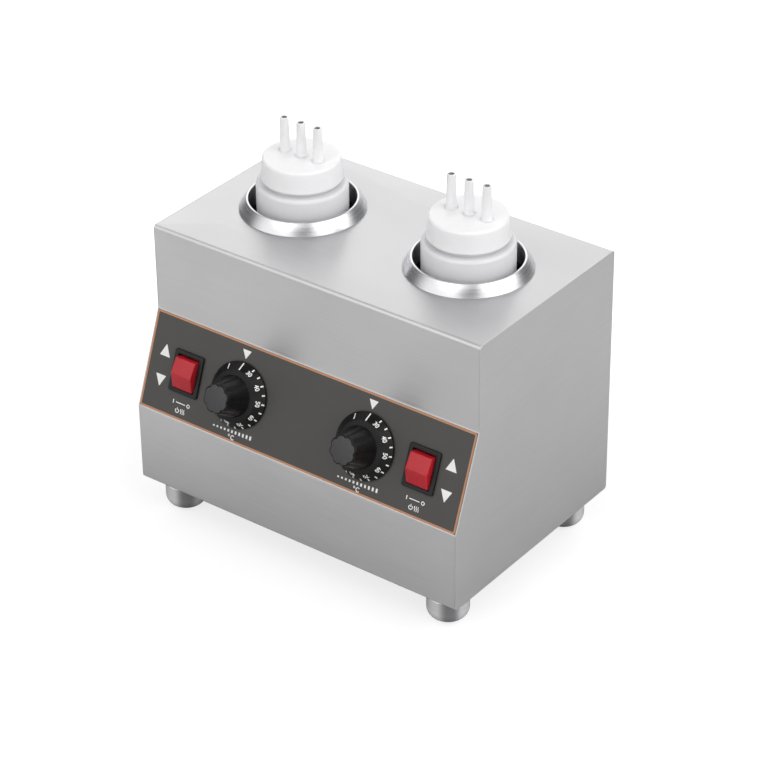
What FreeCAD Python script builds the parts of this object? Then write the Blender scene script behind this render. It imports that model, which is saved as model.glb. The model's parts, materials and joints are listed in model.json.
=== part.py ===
import FreeCAD, Part
import math
import os

# A two-well warmer for squeeze bottles of hot topping: a folded steel casing with a
# sloping control panel, a dry heated well under each polished collar, and a bottle
# with a triple-nozzle cap standing in each well.
# Millimetres, X to the right, Y to the back, Z up. The origin is the middle of the
# whole thing's box in plan, on the table that the foot pads stand on.

# Shared clearances
OVERRUN = 5.0
SEAT_GAP = 0.2
SCREW_GAP = 0.15
RUNNING_GAP = 0.05
SHORTEST_RUN = 0.005

# Casing
CASING_WIDTH = 325.0
CASING_DEPTH = 185.0
CASING_HEIGHT = 228.5
LOWER_FRONT_HEIGHT = 71.7
PANEL_RISE = 80.2
PANEL_OVERHANG = 31.0
SHEET = 1.0
BEND_RADIUS = 3.0
BOTTOM_FLANGE = 12.0
RETURN_FLANGE = 10.0
BEND_RELIEF = 7.0

# Base plate with its vents and screws
BASE_INSET = 4.0
VENT_COUNT = 7
VENT_PITCH = 11.0
VENT_WIDTH = 4.0
VENT_LENGTH = 54.0
BASE_SCREW_RADIUS = 1.75
BASE_SCREW_LENGTH = 7.0
BASE_SCREW_HEAD_RADIUS = 3.5
BASE_SCREW_HEAD = 2.2
BASE_SCREW_ROW = 8.0
BASE_SCREW_SHARES = (-0.32, 0.0, 0.32)

# Feet
FOOT_HEIGHT = 28.5
FOOT_RADIUS = 17.6
FOOT_ROUND = 9.5
FOOT_TOP_ROUND = 1.0
FOOT_LIP = 5.4
FOOT_GROOVE = 0.7
FOOT_INSET = 25.5
PAD_RADIUS = 7.5
PAD_THICKNESS = 3.0
PAD_PROUD = 1.0
FOOT_BOLT_RADIUS = 2.5
FOOT_BOLT_HEAD_RADIUS = 4.4
FOOT_BOLT_HEAD = 3.4
FOOT_NUT_WIDTH = 8.0
FOOT_NUT_HEIGHT = 4.0
FOOT_BOLT_END = 2.0

# Wells: collar, drawn pot and heater band
WELL_SPACING = 166.6
WELL_SETBACK = 95.5
COLLAR_RADIUS = 52.8
COLLAR_LIP_RADIUS = 46.3
COLLAR_BORE_RADIUS = 44.6
COLLAR_HEIGHT = 10.0
COLLAR_SKIRT = 8.0
COLLAR_SHEET = 1.0
COLLAR_LIP_ROUND = 0.7
POT_DEPTH = 165.0
POT_CORNER = 5.0
POT_WALL = 1.0
HEATER_THICKNESS = 2.0
HEATER_SHARE = 0.47
HEATER_BELOW_TOP = 11.0
HEATER_SPLIT = 8.0
HEATER_LUG = 13.0
HEATER_LUG_THICKNESS = 2.0
HEATER_BOX_WIDTH = 9.0
HEATER_BOX_LENGTH = 22.0
HEATER_BOX_HEIGHT = 16.0
CLAMP_SCREW_RADIUS = 2.0
CLAMP_HEAD_RADIUS = 3.6
CLAMP_HEAD = 2.4
CLAMP_SHARES = (0.2, 0.8)

# Bottles
BOTTLE_RADIUS = 38.0
BOTTLE_WALL = 1.2
BOTTLE_ABOVE_TOP = 25.0
BOTTLE_BASE_ROUND = 5.0
SHOULDER_ROUND_SHARE = 0.375
SHOULDER_INNER_SHARE = 0.22
NECK_ROOT_SHARE = 0.125
NECK_WALL = 1.4
NECK_HEIGHT = 19.5
THREAD_GAP = 2.3

# Bottle caps
CAP_ABOVE_SHOULDER = 4.0
CAP_HEIGHT = 18.8
CAP_BASE_RADIUS = 33.8
CAP_TAPER = 1.6
CAP_EDGE_ROUND = 2.4
CAP_WALL = 1.5
CAP_TOP_THICKNESS = 2.0
LINER_WIDTH = 2.8
NOZZLE_COUNT = 3
NOZZLE_PITCH = 17.0
NOZZLE_HEIGHT = 29.7
NOZZLE_BASE_RADIUS = 4.3
NOZZLE_TIP_RADIUS = 3.5
NOZZLE_BORE_RADIUS = 2.4
NOZZLE_FLARE = 1.2
NOZZLE_TIP_ROUND = 0.6

# Control panel overlay
OVERLAY_THICKNESS = 0.4
OVERLAY_MARGIN = 1.2
SWITCH_FROM_SIDE = 42.8
DIAL_FROM_SWITCH = 55.5
CONTROLS_UP_PANEL = 41.4

# Dial knobs, from the panel face outwards
KNOB_GAP = 0.8
KNOB_SKIRT_RADIUS = 28.0
KNOB_SKIRT_EDGE = 1.4
KNOB_CONE_RADIUS = 21.6
KNOB_CONE_HEIGHT = 8.6
KNOB_ROOT_RADIUS = 17.4
KNOB_ROOT_RISE = 0.8
KNOB_FACE_RADIUS = 12.6
KNOB_HEIGHT = 32.0
KNOB_FACE_ROUND = 1.2
KNOB_WALL = 2.0
KNOB_BOSS_RADIUS = 6.5
KNOB_FLUTES = 8
KNOB_FLUTE_RADIUS = 9.0
KNOB_FLUTE_DEPTH = 1.7

# Thermostats behind the dials
SHAFT_RADIUS = 3.0
SHAFT_FLAT = 0.6
SHAFT_IN_KNOB = 20.0
SHAFT_IN_THERMOSTAT = 11.0
BUSHING_RADIUS = 4.9
BUSHING_PROUD = 1.2
THERMOSTAT_PLATE_WIDTH = 40.0
THERMOSTAT_PLATE_HEIGHT = 16.0
THERMOSTAT_PLATE_THICKNESS = 1.5
THERMOSTAT_CASE = 34.0
THERMOSTAT_DEPTH = 22.0
THERMOSTAT_CORNER = 2.5
THERMOSTAT_SCREW_SPACING = 28.0
THERMOSTAT_SCREW_RADIUS = 2.0
THERMOSTAT_HEAD_RADIUS = 3.6
THERMOSTAT_HEAD = 2.2
OVERLAY_DIAL_HOLE = 19.5
PROBE_RADIUS = 3.0
PROBE_SHARE = 0.36
PROBE_ABOVE_FLOOR = 6.0
CAPILLARY_RADIUS = 1.0
CAPILLARY_BEND = 6.0
CLIP_SHEET = 0.8
CLIP_HEIGHT = 9.0
CLIP_SHARES = (0.2, 0.8)

# Rocker switches
BEZEL_WIDTH = 30.0
BEZEL_HEIGHT = 36.0
BEZEL_PROUD = 2.3
BEZEL_CORNER = 2.0
TUB_INSIDE_WIDTH = 21.8
TUB_INSIDE_HEIGHT = 28.8
TUB_WALL = 0.9
TUB_DEPTH = 22.0
TUB_FLOOR = 2.0
ROCKER_WIDTH = 21.0
ROCKER_LENGTH = 26.4
ROCKER_ROOT = 6.0
ROCKER_END_HEIGHT = 4.8
ROCKER_RIDGE_HEIGHT = 9.0
ROCKER_RIDGE_ROUND = 2.5
ROCKER_EDGE_ROUND = 0.8
ROCKER_PIVOT_DEPTH = 2.0
ROCKER_PIVOT_RADIUS = 1.5
ROCKER_STUB = 0.9
ROCKER_TILT = 7.0
BLADE_WIDTH = 6.3
BLADE_THICKNESS = 0.8
BLADE_LENGTH = 8.0
BLADE_SPACING = 14.0

# Cable gland in the back
GLAND_HEIGHT = 36.0
GLAND_BORE_RADIUS = 3.6
GLAND_SEAL_RADIUS = 5.1
GLAND_HEX = 22.0
GLAND_HEX_THICKNESS = 4.0
GLAND_SPIGOT_RADIUS = 7.8
GLAND_INNER_LENGTH = 9.0
GLAND_OUTER_LENGTH = 7.0
GLAND_NUT_RADIUS = 10.0
GLAND_NUT_HEX = 19.0
GLAND_NUT_END = 3.6
GLAND_NUT_ROUND = 3.0
GLAND_NUT_BORE_RADIUS = 4.2
LOCKNUT_THICKNESS = 5.0

# Wiring inside
BLOCK_POLES = 5
BLOCK_PITCH = 9.0
BLOCK_DEPTH = 16.0
BLOCK_HEIGHT = 14.0
BLOCK_EAR = 8.0
BLOCK_EAR_HEIGHT = 4.0
BLOCK_FROM_BACK = 52.0
BLOCK_WIRE_HEIGHT = 5.0
BLOCK_WIRE_RADIUS = 1.6
BLOCK_SCREW_RADIUS = 2.0
BLOCK_SCREW_LENGTH = 5.0
BLOCK_MOUNT_RADIUS = 1.5
BLOCK_MOUNT_HEAD_RADIUS = 2.8
BLOCK_MOUNT_HEAD = 2.0
EARTH_STUD_FROM_BACK = 26.0
EARTH_STUD_RADIUS = 2.0
EARTH_STUD_LENGTH = 15.0
EARTH_NUT_WIDTH = 7.0
EARTH_NUT_HEIGHT = 3.2
LEAD_RADIUS = 1.2
LEAD_BEND = 7.0
LEAD_STUB = 12.0
LEAD_IN_BLOCK = 4.0
LEAD_LOW = 18.0
LEAD_MID = 46.0
EARTH_LEAD_BEND = 4.0
EARTH_LEAD_HEIGHT = 28.0
EARTH_TAG_RADIUS = 3.6

# Places worked out from the sizes above
HALF_WIDTH = CASING_WIDTH / 2
PANEL_LENGTH = math.hypot(PANEL_RISE, PANEL_OVERHANG)
PANEL_LEAN = math.degrees(math.atan2(PANEL_OVERHANG, PANEL_RISE))
LEAN_SHARE = PANEL_OVERHANG / PANEL_LENGTH
RISE_SHARE = PANEL_RISE / PANEL_LENGTH

KNOB_FACE = OVERLAY_THICKNESS + KNOB_HEIGHT
CONTROLS_FORWARD = PANEL_OVERHANG - CONTROLS_UP_PANEL * LEAN_SHARE
FRONT_REACH = (CONTROLS_FORWARD + (KNOB_FACE - KNOB_FACE_ROUND) * RISE_SHARE
               + (KNOB_FACE_RADIUS - KNOB_FACE_ROUND) * LEAN_SHARE + KNOB_FACE_ROUND)
GLAND_REACH = GLAND_HEX_THICKNESS + GLAND_OUTER_LENGTH + GLAND_NUT_END
BACK_REACH = CASING_DEPTH + GLAND_REACH

BOTTOM = FOOT_HEIGHT + SHEET
TOP = BOTTOM + CASING_HEIGHT
FRONT = (FRONT_REACH - BACK_REACH) / 2
LOWER_FRONT = FRONT - PANEL_OVERHANG
BACK = FRONT + CASING_DEPTH
LOWER_BEND = BOTTOM + LOWER_FRONT_HEIGHT

WELL_X = WELL_SPACING / 2
WELL_Y = FRONT + WELL_SETBACK
COLLAR_SPREAD = COLLAR_RADIUS - COLLAR_LIP_RADIUS
COLLAR_FOOT = COLLAR_SHEET * math.hypot(COLLAR_SPREAD, COLLAR_HEIGHT) / COLLAR_HEIGHT
POT_RADIUS = COLLAR_BORE_RADIUS + COLLAR_SHEET + SEAT_GAP
POT_OUTER_RADIUS = POT_RADIUS + POT_WALL
POT_FLOOR = TOP - POT_DEPTH
HEATER_RADIUS = POT_OUTER_RADIUS + SEAT_GAP
HEATER_HIGH = TOP - HEATER_BELOW_TOP
HEATER_LOW = HEATER_HIGH - HEATER_SHARE * POT_DEPTH
PROBE_LOW = POT_FLOOR + PROBE_ABOVE_FLOOR
PROBE_LENGTH = PROBE_SHARE * POT_DEPTH
PROBE_Y = WELL_Y - POT_OUTER_RADIUS - SEAT_GAP - PROBE_RADIUS

CAP_TOP_RADIUS = CAP_BASE_RADIUS - CAP_TAPER
NECK_RADIUS = CAP_BASE_RADIUS - CAP_WALL - THREAD_GAP
SHOULDER_WIDTH = BOTTLE_RADIUS - NECK_RADIUS
SHOULDER = TOP + BOTTLE_ABOVE_TOP
NECK_TOP = SHOULDER + NECK_HEIGHT
CAP_BASE = SHOULDER + CAP_ABOVE_SHOULDER
CAP_TOP = CAP_BASE + CAP_HEIGHT
CAP_CEILING = CAP_TOP - CAP_TOP_THICKNESS
NOZZLE_TIP = CAP_TOP + NOZZLE_HEIGHT

SWITCH_X = HALF_WIDTH - SWITCH_FROM_SIDE
DIAL_X = SWITCH_X - DIAL_FROM_SWITCH
TUB_WIDTH = TUB_INSIDE_WIDTH + 2 * TUB_WALL
TUB_HEIGHT = TUB_INSIDE_HEIGHT + 2 * TUB_WALL
BEZEL_FACE = OVERLAY_THICKNESS + BEZEL_PROUD
SWITCH_BACK = SHEET + TUB_DEPTH
BLOCK_WIDTH = BLOCK_POLES * BLOCK_PITCH
BLOCK_Y = BACK - BLOCK_FROM_BACK
GLAND_Z = BOTTOM + GLAND_HEIGHT


def vec(x, y, z):
    return FreeCAD.Vector(x, y, z)


def block(x, y, z):
    """A box from three pairs of low and high values."""
    return Part.makeBox(x[1] - x[0], y[1] - y[0], z[1] - z[0], vec(x[0], y[0], z[0]))


def centred_block(width, height, low, high):
    """A box centred on the Z axis in X and Y."""
    return block((-width / 2, width / 2), (-height / 2, height / 2), (low, high))


def cylinder(radius, low, high, x=0.0, y=0.0):
    return Part.makeCylinder(radius, high - low, vec(x, y, low))


def moved(shape, x=0.0, y=0.0, z=0.0):
    copy = shape.copy()
    copy.translate(vec(x, y, z))
    return copy


def mirrored(shape):
    return shape.mirror(vec(0, 0, 0), vec(1, 0, 0))


def united(shapes):
    """One solid from shapes that meet or overlap."""
    first = shapes[0]
    for other in shapes[1:]:
        first = first.fuse(other)
    return first.removeSplitter()


def group(shapes):
    """Separate solids kept in one node."""
    solids = [solid for shape in shapes for solid in shape.Solids]
    return Part.makeCompound(solids)


def corner(before, point, after, radius):
    """Start, middle and end of the tangent arc that rounds one corner."""
    to_before = (before - point).normalize()
    to_after = (after - point).normalize()
    half = to_before.getAngle(to_after) / 2
    bisector = (to_before + to_after).normalize()
    reach = radius / math.tan(half)
    centre = point + bisector * (radius / math.sin(half))
    return point + to_before * reach, centre - bisector * radius, point + to_after * reach


def rounded_wire(points, radii, closed=True):
    """Straight runs through the points, with a tangent arc at each rounded corner."""
    edges = []
    starts = []
    count = len(points)
    for i in range(count):
        ends = not closed and i in (0, count - 1)
        radius = 0.0 if ends else radii[i]
        if radius == 0:
            starts.append((points[i], None, points[i]))
            continue
        starts.append(corner(points[i - 1], points[i], points[(i + 1) % count], radius))
    for i in range(count):
        enter, middle, leave = starts[i]
        if middle is not None:
            edges.append(Part.Arc(enter, middle, leave).toShape())
        if i == count - 1 and not closed:
            break
        following = starts[(i + 1) % count][0]
        if leave.distanceToPoint(following) > SHORTEST_RUN:
            edges.append(Part.LineSegment(leave, following).toShape())
    return Part.Wire(edges)


def revolved(profile):
    """A solid turned about the Z axis from (radius, height, rounding) corners."""
    points = [vec(r, 0, z) for r, z, _ in profile]
    wire = rounded_wire(points, [rounding for _, _, rounding in profile])
    return Part.Face(wire).revolve(vec(0, 0, 0), vec(0, 0, 1), 360)


def slab(width, height, low, high, rounding):
    """A plate centred on the Z axis with rounded corners."""
    points = [vec(-width / 2, -height / 2, low), vec(width / 2, -height / 2, low),
              vec(width / 2, height / 2, low), vec(-width / 2, height / 2, low)]
    face = Part.Face(rounded_wire(points, [rounding] * len(points)))
    return face.extrude(vec(0, 0, high - low))


def hexagon(across_flats, low, high):
    """A six-sided prism on the Z axis."""
    radius = across_flats / math.sqrt(3)
    angles = [i * math.pi / 3 for i in range(6)]
    points = [vec(radius * math.cos(angle), radius * math.sin(angle), low) for angle in angles]
    face = Part.Face(Part.makePolygon(points + points[:1]))
    return face.extrude(vec(0, 0, high - low))


def nut(across_flats, bore_radius, low, high):
    bore = cylinder(bore_radius, low - OVERRUN, high + OVERRUN)
    return hexagon(across_flats, low, high).cut(bore)


def screw(radius, head_radius, head, length, seat):
    """A round-headed screw: head above the seat height, shank down from it."""
    dome = revolved([(0, seat, 0), (head_radius, seat, 0), (head_radius, seat + head, head / 2),
                     (0, seat + head, 0)])
    return united([dome, cylinder(radius, seat - length, seat)])


def tube_along(points, radius, bend):
    """A round tube along straight runs joined by tangent arcs."""
    path = rounded_wire(points, [bend] * len(points), closed=False)
    start = (points[1] - points[0]).normalize()
    section = Part.Wire(Part.Circle(points[0], start, radius).toShape())
    return path.makePipeShell([section], True, False)


def panel_point(x, up, out):
    """A point given across the panel, up its slope and out from its steel face."""
    y = LOWER_FRONT + up * LEAN_SHARE - out * RISE_SHARE
    z = LOWER_BEND + up * RISE_SHARE + out * LEAN_SHARE
    return vec(x, y, z)


def on_panel(shape, x, up=CONTROLS_UP_PANEL):
    """Stand a shape that was made on the Z axis on the sloping panel."""
    copy = shape.copy()
    copy.rotate(vec(0, 0, 0), vec(1, 0, 0), 90 - PANEL_LEAN)
    copy.translate(panel_point(x, up, 0))
    return copy


def on_back(shape, x, z):
    """Stand a shape that was made on the Z axis on the back of the casing."""
    copy = shape.copy()
    copy.rotate(vec(0, 0, 0), vec(1, 0, 0), -90)
    copy.translate(vec(x, BACK, z))
    return copy


# Casing sheet metal
def casing_profile(inset):
    """Corners of the side outline, drawn in by the inset."""
    slant = inset * math.tan(math.radians(PANEL_LEAN / 2))
    return [(LOWER_FRONT + inset, BOTTOM + inset),
            (LOWER_FRONT + inset, LOWER_BEND - slant),
            (FRONT + inset, LOWER_BEND + PANEL_RISE - slant),
            (FRONT + inset, TOP - inset),
            (BACK - inset, TOP - inset),
            (BACK - inset, BOTTOM + inset)]


def casing_prism(inset, low, high):
    """The side outline, drawn in and run from one X value to another."""
    outer_bends = BEND_RADIUS - inset
    inner_bend = BEND_RADIUS - SHEET + inset
    radii = [outer_bends, outer_bends, inner_bend, outer_bends, outer_bends, outer_bends]
    points = [vec(low, y, z) for y, z in casing_profile(inset)]
    return Part.Face(rounded_wire(points, radii)).extrude(vec(high - low, 0, 0))


def control_cuts(dial_radius):
    """A window for each switch tub and a round hole for each dial, through the panel."""
    window = centred_block(TUB_WIDTH + 2 * SEAT_GAP, TUB_HEIGHT + 2 * SEAT_GAP, -OVERRUN, OVERRUN)
    ring = cylinder(dial_radius, -OVERRUN, OVERRUN)
    cuts = []
    for side in (-1, 1):
        cuts.append(on_panel(window, side * SWITCH_X))
        cuts.append(on_panel(ring, side * DIAL_X))
    return cuts


def thermostat_screw_places():
    """How far across the panel the four thermostat screws are."""
    return [side * DIAL_X + end * THERMOSTAT_SCREW_SPACING / 2 for side in (-1, 1) for end in (-1, 1)]


def base_screw_places():
    """Where the base screws go up into the front and back flanges."""
    rows = (LOWER_FRONT + BASE_SCREW_ROW, BACK - BASE_SCREW_ROW)
    return [(share * CASING_WIDTH, y) for y in rows for share in BASE_SCREW_SHARES]


def folded_skin():
    """The front, top and back in one fold with their openings, before the seams."""
    end = HALF_WIDTH - SHEET
    sheet = casing_prism(0, -end, end).cut(casing_prism(SHEET, -HALF_WIDTH, HALF_WIDTH))
    mouth = block((-HALF_WIDTH, HALF_WIDTH), (LOWER_FRONT + BOTTOM_FLANGE, BACK - BOTTOM_FLANGE),
                  (BOTTOM - OVERRUN, BOTTOM + OVERRUN))
    cuts = [mouth] + control_cuts(BUSHING_RADIUS + SEAT_GAP)
    screw_hole = cylinder(THERMOSTAT_SCREW_RADIUS + SCREW_GAP, -OVERRUN, OVERRUN)
    cuts += [on_panel(screw_hole, x) for x in thermostat_screw_places()]
    for side in (-1, 1):
        cuts.append(cylinder(POT_OUTER_RADIUS + SEAT_GAP, TOP - OVERRUN, TOP + OVERRUN,
                             side * WELL_X, WELL_Y))
    gland_hole = cylinder(GLAND_SPIGOT_RADIUS + SEAT_GAP, -OVERRUN, OVERRUN)
    cuts.append(on_back(gland_hole, 0, GLAND_Z))
    for x, y in base_screw_places():
        cuts.append(cylinder(BASE_SCREW_RADIUS + SCREW_GAP, BOTTOM - OVERRUN, BOTTOM + OVERRUN, x, y))
    return sheet.cut(cuts)


def casing_sheets():
    """The front, top and rear sheets, which meet at welded seams under the top's bends."""
    skin = folded_skin()
    seam = TOP - BEND_RADIUS
    across = (-HALF_WIDTH, HALF_WIDTH)
    front = block(across, (LOWER_FRONT - OVERRUN, WELL_Y), (BOTTOM - OVERRUN, seam))
    rear = block(across, (WELL_Y, BACK + OVERRUN), (BOTTOM - OVERRUN, seam))
    top = block(across, (LOWER_FRONT, BACK + OVERRUN), (seam, TOP + OVERRUN))
    return {"front_sheet": skin.common(front), "rear_sheet": skin.common(rear),
            "top_sheet": skin.common(top)}


def side_plate():
    """The right side plate with its return flanges behind the folded sheets."""
    inner_face = HALF_WIDTH - SHEET
    flange_edge = inner_face - RETURN_FLANGE
    plate = casing_prism(0, inner_face, HALF_WIDTH)
    flanges = casing_prism(SHEET, flange_edge, inner_face)
    flanges = flanges.cut(casing_prism(2 * SHEET, flange_edge - OVERRUN, inner_face))
    reliefs = []
    for y, z in casing_profile(SHEET):
        relief = Part.makeCylinder(BEND_RELIEF, RETURN_FLANGE + OVERRUN,
                                   vec(flange_edge - OVERRUN, y, z), vec(1, 0, 0))
        reliefs.append(relief)
    return united([plate] + flanges.cut(reliefs).Solids)


def vent_slots():
    """A row of round-ended slots under each well."""
    half = (VENT_LENGTH - VENT_WIDTH) / 2
    low = BOTTOM - SHEET - OVERRUN
    slots = []
    for side in (-1, 1):
        for i in range(VENT_COUNT):
            x = side * WELL_X + (i - (VENT_COUNT - 1) / 2) * VENT_PITCH
            slots.append(block((x - VENT_WIDTH / 2, x + VENT_WIDTH / 2),
                               (WELL_Y - half, WELL_Y + half), (low, BOTTOM + OVERRUN)))
            for end in (-1, 1):
                slots.append(cylinder(VENT_WIDTH / 2, low, BOTTOM + OVERRUN, x, WELL_Y + end * half))
    return slots


def foot_places():
    """Names and centres of the four feet."""
    x = HALF_WIDTH - FOOT_INSET
    front = LOWER_FRONT + FOOT_INSET
    rear = BACK - FOOT_INSET
    return {"front_left": (-x, front), "front_right": (x, front),
            "rear_left": (-x, rear), "rear_right": (x, rear)}


def block_mount_places():
    """Where the terminal block's two ears are screwed down."""
    reach = (BLOCK_WIDTH + BLOCK_EAR) / 2
    return [(-reach, BLOCK_Y), (reach, BLOCK_Y)]


def base_plate():
    """The bottom cover, screwed up against the flanges."""
    low = BOTTOM - SHEET
    edge = HALF_WIDTH - BASE_INSET
    plate = block((-edge, edge), (LOWER_FRONT + BASE_INSET, BACK - BASE_INSET), (low, BOTTOM))
    cuts = vent_slots()
    holes = [(BASE_SCREW_RADIUS, x, y) for x, y in base_screw_places()]
    holes += [(FOOT_BOLT_RADIUS, x, y) for x, y in foot_places().values()]
    holes += [(BLOCK_MOUNT_RADIUS, x, y) for x, y in block_mount_places()]
    holes.append((EARTH_STUD_RADIUS, 0, BACK - EARTH_STUD_FROM_BACK))
    for radius, x, y in holes:
        cuts.append(cylinder(radius + SCREW_GAP, low - OVERRUN, BOTTOM + OVERRUN, x, y))
    return plate.cut(cuts)


def base_screws():
    """Screws from below through the base plate into the flanges."""
    screws = []
    for x, y in base_screw_places():
        one = screw(BASE_SCREW_RADIUS, BASE_SCREW_HEAD_RADIUS, BASE_SCREW_HEAD, BASE_SCREW_LENGTH, 0)
        one.rotate(vec(0, 0, 0), vec(1, 0, 0), 180)
        screws.append(moved(one, x, y, BOTTOM - SHEET))
    return group(screws)


def control_overlay():
    """The thin dark sheet stuck over the sloping panel."""
    width = CASING_WIDTH - 2 * OVERLAY_MARGIN
    height = PANEL_LENGTH - 2 * OVERLAY_MARGIN
    sheet = on_panel(centred_block(width, height, 0, OVERLAY_THICKNESS), 0, PANEL_LENGTH / 2)
    return sheet.cut(control_cuts(OVERLAY_DIAL_HOLE))


# Feet
def foot():
    """A turned foot with a lip over a fine groove, a pad recess and a bolt hole."""
    bolt_hole = FOOT_BOLT_RADIUS + SCREW_GAP
    head_hole = FOOT_BOLT_HEAD_RADIUS + 2 * SEAT_GAP
    recess = PAD_RADIUS + SEAT_GAP
    recess_top = PAD_THICKNESS
    head_top = recess_top + FOOT_BOLT_HEAD + SEAT_GAP
    lip = FOOT_HEIGHT - FOOT_LIP
    return revolved([(bolt_hole, head_top, 0), (head_hole, head_top, 0), (head_hole, recess_top, 0),
                     (recess, recess_top, 0), (recess, PAD_PROUD, 0),
                     (FOOT_RADIUS, PAD_PROUD, FOOT_ROUND), (FOOT_RADIUS, lip - FOOT_GROOVE, 0),
                     (FOOT_RADIUS - FOOT_GROOVE, lip, 0), (FOOT_RADIUS, lip + FOOT_GROOVE, 0),
                     (FOOT_RADIUS, FOOT_HEIGHT, FOOT_TOP_ROUND), (bolt_hole, FOOT_HEIGHT, 0)])


def foot_bolt():
    """The bolt up through the foot, head down, with its end above the nut."""
    seat = PAD_THICKNESS + FOOT_BOLT_HEAD + SEAT_GAP
    end = BOTTOM + FOOT_NUT_HEIGHT + FOOT_BOLT_END
    head = cylinder(FOOT_BOLT_HEAD_RADIUS, seat - FOOT_BOLT_HEAD, seat)
    return united([head, cylinder(FOOT_BOLT_RADIUS, seat, end)])


def feet_parts():
    """Every node of the four feet."""
    nodes = {}
    for name, (x, y) in foot_places().items():
        nodes["foot_" + name] = moved(foot(), x, y)
    places = foot_places().values()
    pad = cylinder(PAD_RADIUS, 0, PAD_THICKNESS)
    fixing = nut(FOOT_NUT_WIDTH, FOOT_BOLT_RADIUS + RUNNING_GAP, BOTTOM, BOTTOM + FOOT_NUT_HEIGHT)
    nodes["foot_pads"] = group([moved(pad, x, y) for x, y in places])
    nodes["foot_bolts"] = group([moved(foot_bolt(), x, y) for x, y in places])
    nodes["foot_nuts"] = group([moved(fixing, x, y) for x, y in places])
    return nodes


# Wells, each made on the Z axis and then set at its place
def well_collar():
    """The spun collar: an outer cone, a rolled lip and a skirt down inside the pot."""
    lip = TOP + COLLAR_HEIGHT
    foot_inner = COLLAR_RADIUS - COLLAR_FOOT
    skirt_outer = COLLAR_BORE_RADIUS + COLLAR_SHEET
    under_lip = TOP + (foot_inner - skirt_outer) * COLLAR_HEIGHT / COLLAR_SPREAD
    return revolved([(COLLAR_RADIUS, TOP, 0), (COLLAR_LIP_RADIUS, lip, COLLAR_LIP_ROUND),
                     (COLLAR_BORE_RADIUS, lip, COLLAR_LIP_ROUND),
                     (COLLAR_BORE_RADIUS, TOP - COLLAR_SKIRT, 0),
                     (skirt_outer, TOP - COLLAR_SKIRT, 0), (skirt_outer, under_lip, 0),
                     (foot_inner, TOP, 0)])


def well_pot():
    """The drawn pot, hung by its flange on the casing top."""
    flange_top = TOP + POT_WALL
    flange_radius = (COLLAR_RADIUS - COLLAR_FOOT - SEAT_GAP
                     - POT_WALL * COLLAR_SPREAD / COLLAR_HEIGHT)
    under = POT_FLOOR - POT_WALL
    return revolved([(0, POT_FLOOR, 0), (POT_RADIUS, POT_FLOOR, POT_CORNER),
                     (POT_RADIUS, flange_top, 0), (flange_radius, flange_top, 0),
                     (flange_radius, TOP, 0), (POT_OUTER_RADIUS, TOP, 0),
                     (POT_OUTER_RADIUS, under, POT_CORNER + POT_WALL), (0, under, 0)])


def heater_band():
    """A split band round the pot, with clamp lugs behind and a terminal box inside."""
    outer = HEATER_RADIUS + HEATER_THICKNESS
    band = cylinder(outer, HEATER_LOW, HEATER_HIGH)
    lug_reach = outer + HEATER_LUG
    lug_half = HEATER_SPLIT / 2 + HEATER_LUG_THICKNESS
    lugs = block((-lug_half, lug_half), (HEATER_RADIUS, lug_reach), (HEATER_LOW, HEATER_HIGH))
    box = block((-outer - HEATER_BOX_WIDTH, -HEATER_RADIUS),
                (-HEATER_BOX_LENGTH / 2, HEATER_BOX_LENGTH / 2),
                (HEATER_LOW, HEATER_LOW + HEATER_BOX_HEIGHT))
    solid = united([band, lugs, box])
    inside = cylinder(HEATER_RADIUS, HEATER_LOW - OVERRUN, HEATER_HIGH + OVERRUN)
    split = block((-HEATER_SPLIT / 2, HEATER_SPLIT / 2), (0, lug_reach + OVERRUN),
                  (HEATER_LOW - OVERRUN, HEATER_HIGH + OVERRUN))
    cuts = [inside, split]
    for y, z in clamp_places():
        cuts.append(Part.makeCylinder(CLAMP_SCREW_RADIUS + SCREW_GAP, 2 * lug_half + 2 * OVERRUN,
                                      vec(-lug_half - OVERRUN, y, z), vec(1, 0, 0)))
    return solid.cut(cuts)


def clamp_places():
    """Height and reach of the two clamp screws through the band's lugs."""
    y = HEATER_RADIUS + HEATER_THICKNESS + HEATER_LUG / 2
    return [(y, HEATER_LOW + share * (HEATER_HIGH - HEATER_LOW)) for share in CLAMP_SHARES]


def clamp_screws():
    """The two screws of one band, each with its nut."""
    seat = HEATER_SPLIT / 2 + HEATER_LUG_THICKNESS
    nut_width = 2 * CLAMP_HEAD_RADIUS
    length = 2 * seat + 2 * CLAMP_HEAD
    one = screw(CLAMP_SCREW_RADIUS, CLAMP_HEAD_RADIUS, CLAMP_HEAD, length, seat)
    fixing = nut(nut_width, CLAMP_SCREW_RADIUS + RUNNING_GAP, -seat - CLAMP_HEAD, -seat)
    pair = group([one, fixing])
    pair.rotate(vec(0, 0, 0), vec(0, 1, 0), 90)
    return [moved(pair, 0, y, z) for y, z in clamp_places()]


def probe_clip():
    """A small saddle that holds the probe against the pot, on the Z axis."""
    outer = PROBE_RADIUS + SEAT_GAP + CLIP_SHEET
    inner = PROBE_RADIUS + SEAT_GAP
    reach = PROBE_RADIUS
    saddle = united([cylinder(outer, 0, CLIP_HEIGHT),
                     block((-outer, outer), (0, reach), (0, CLIP_HEIGHT))])
    slot = united([cylinder(inner, -OVERRUN, CLIP_HEIGHT + OVERRUN),
                   block((-inner, inner), (0, reach + OVERRUN), (-OVERRUN, CLIP_HEIGHT + OVERRUN))])
    return saddle.cut(slot)


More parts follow.
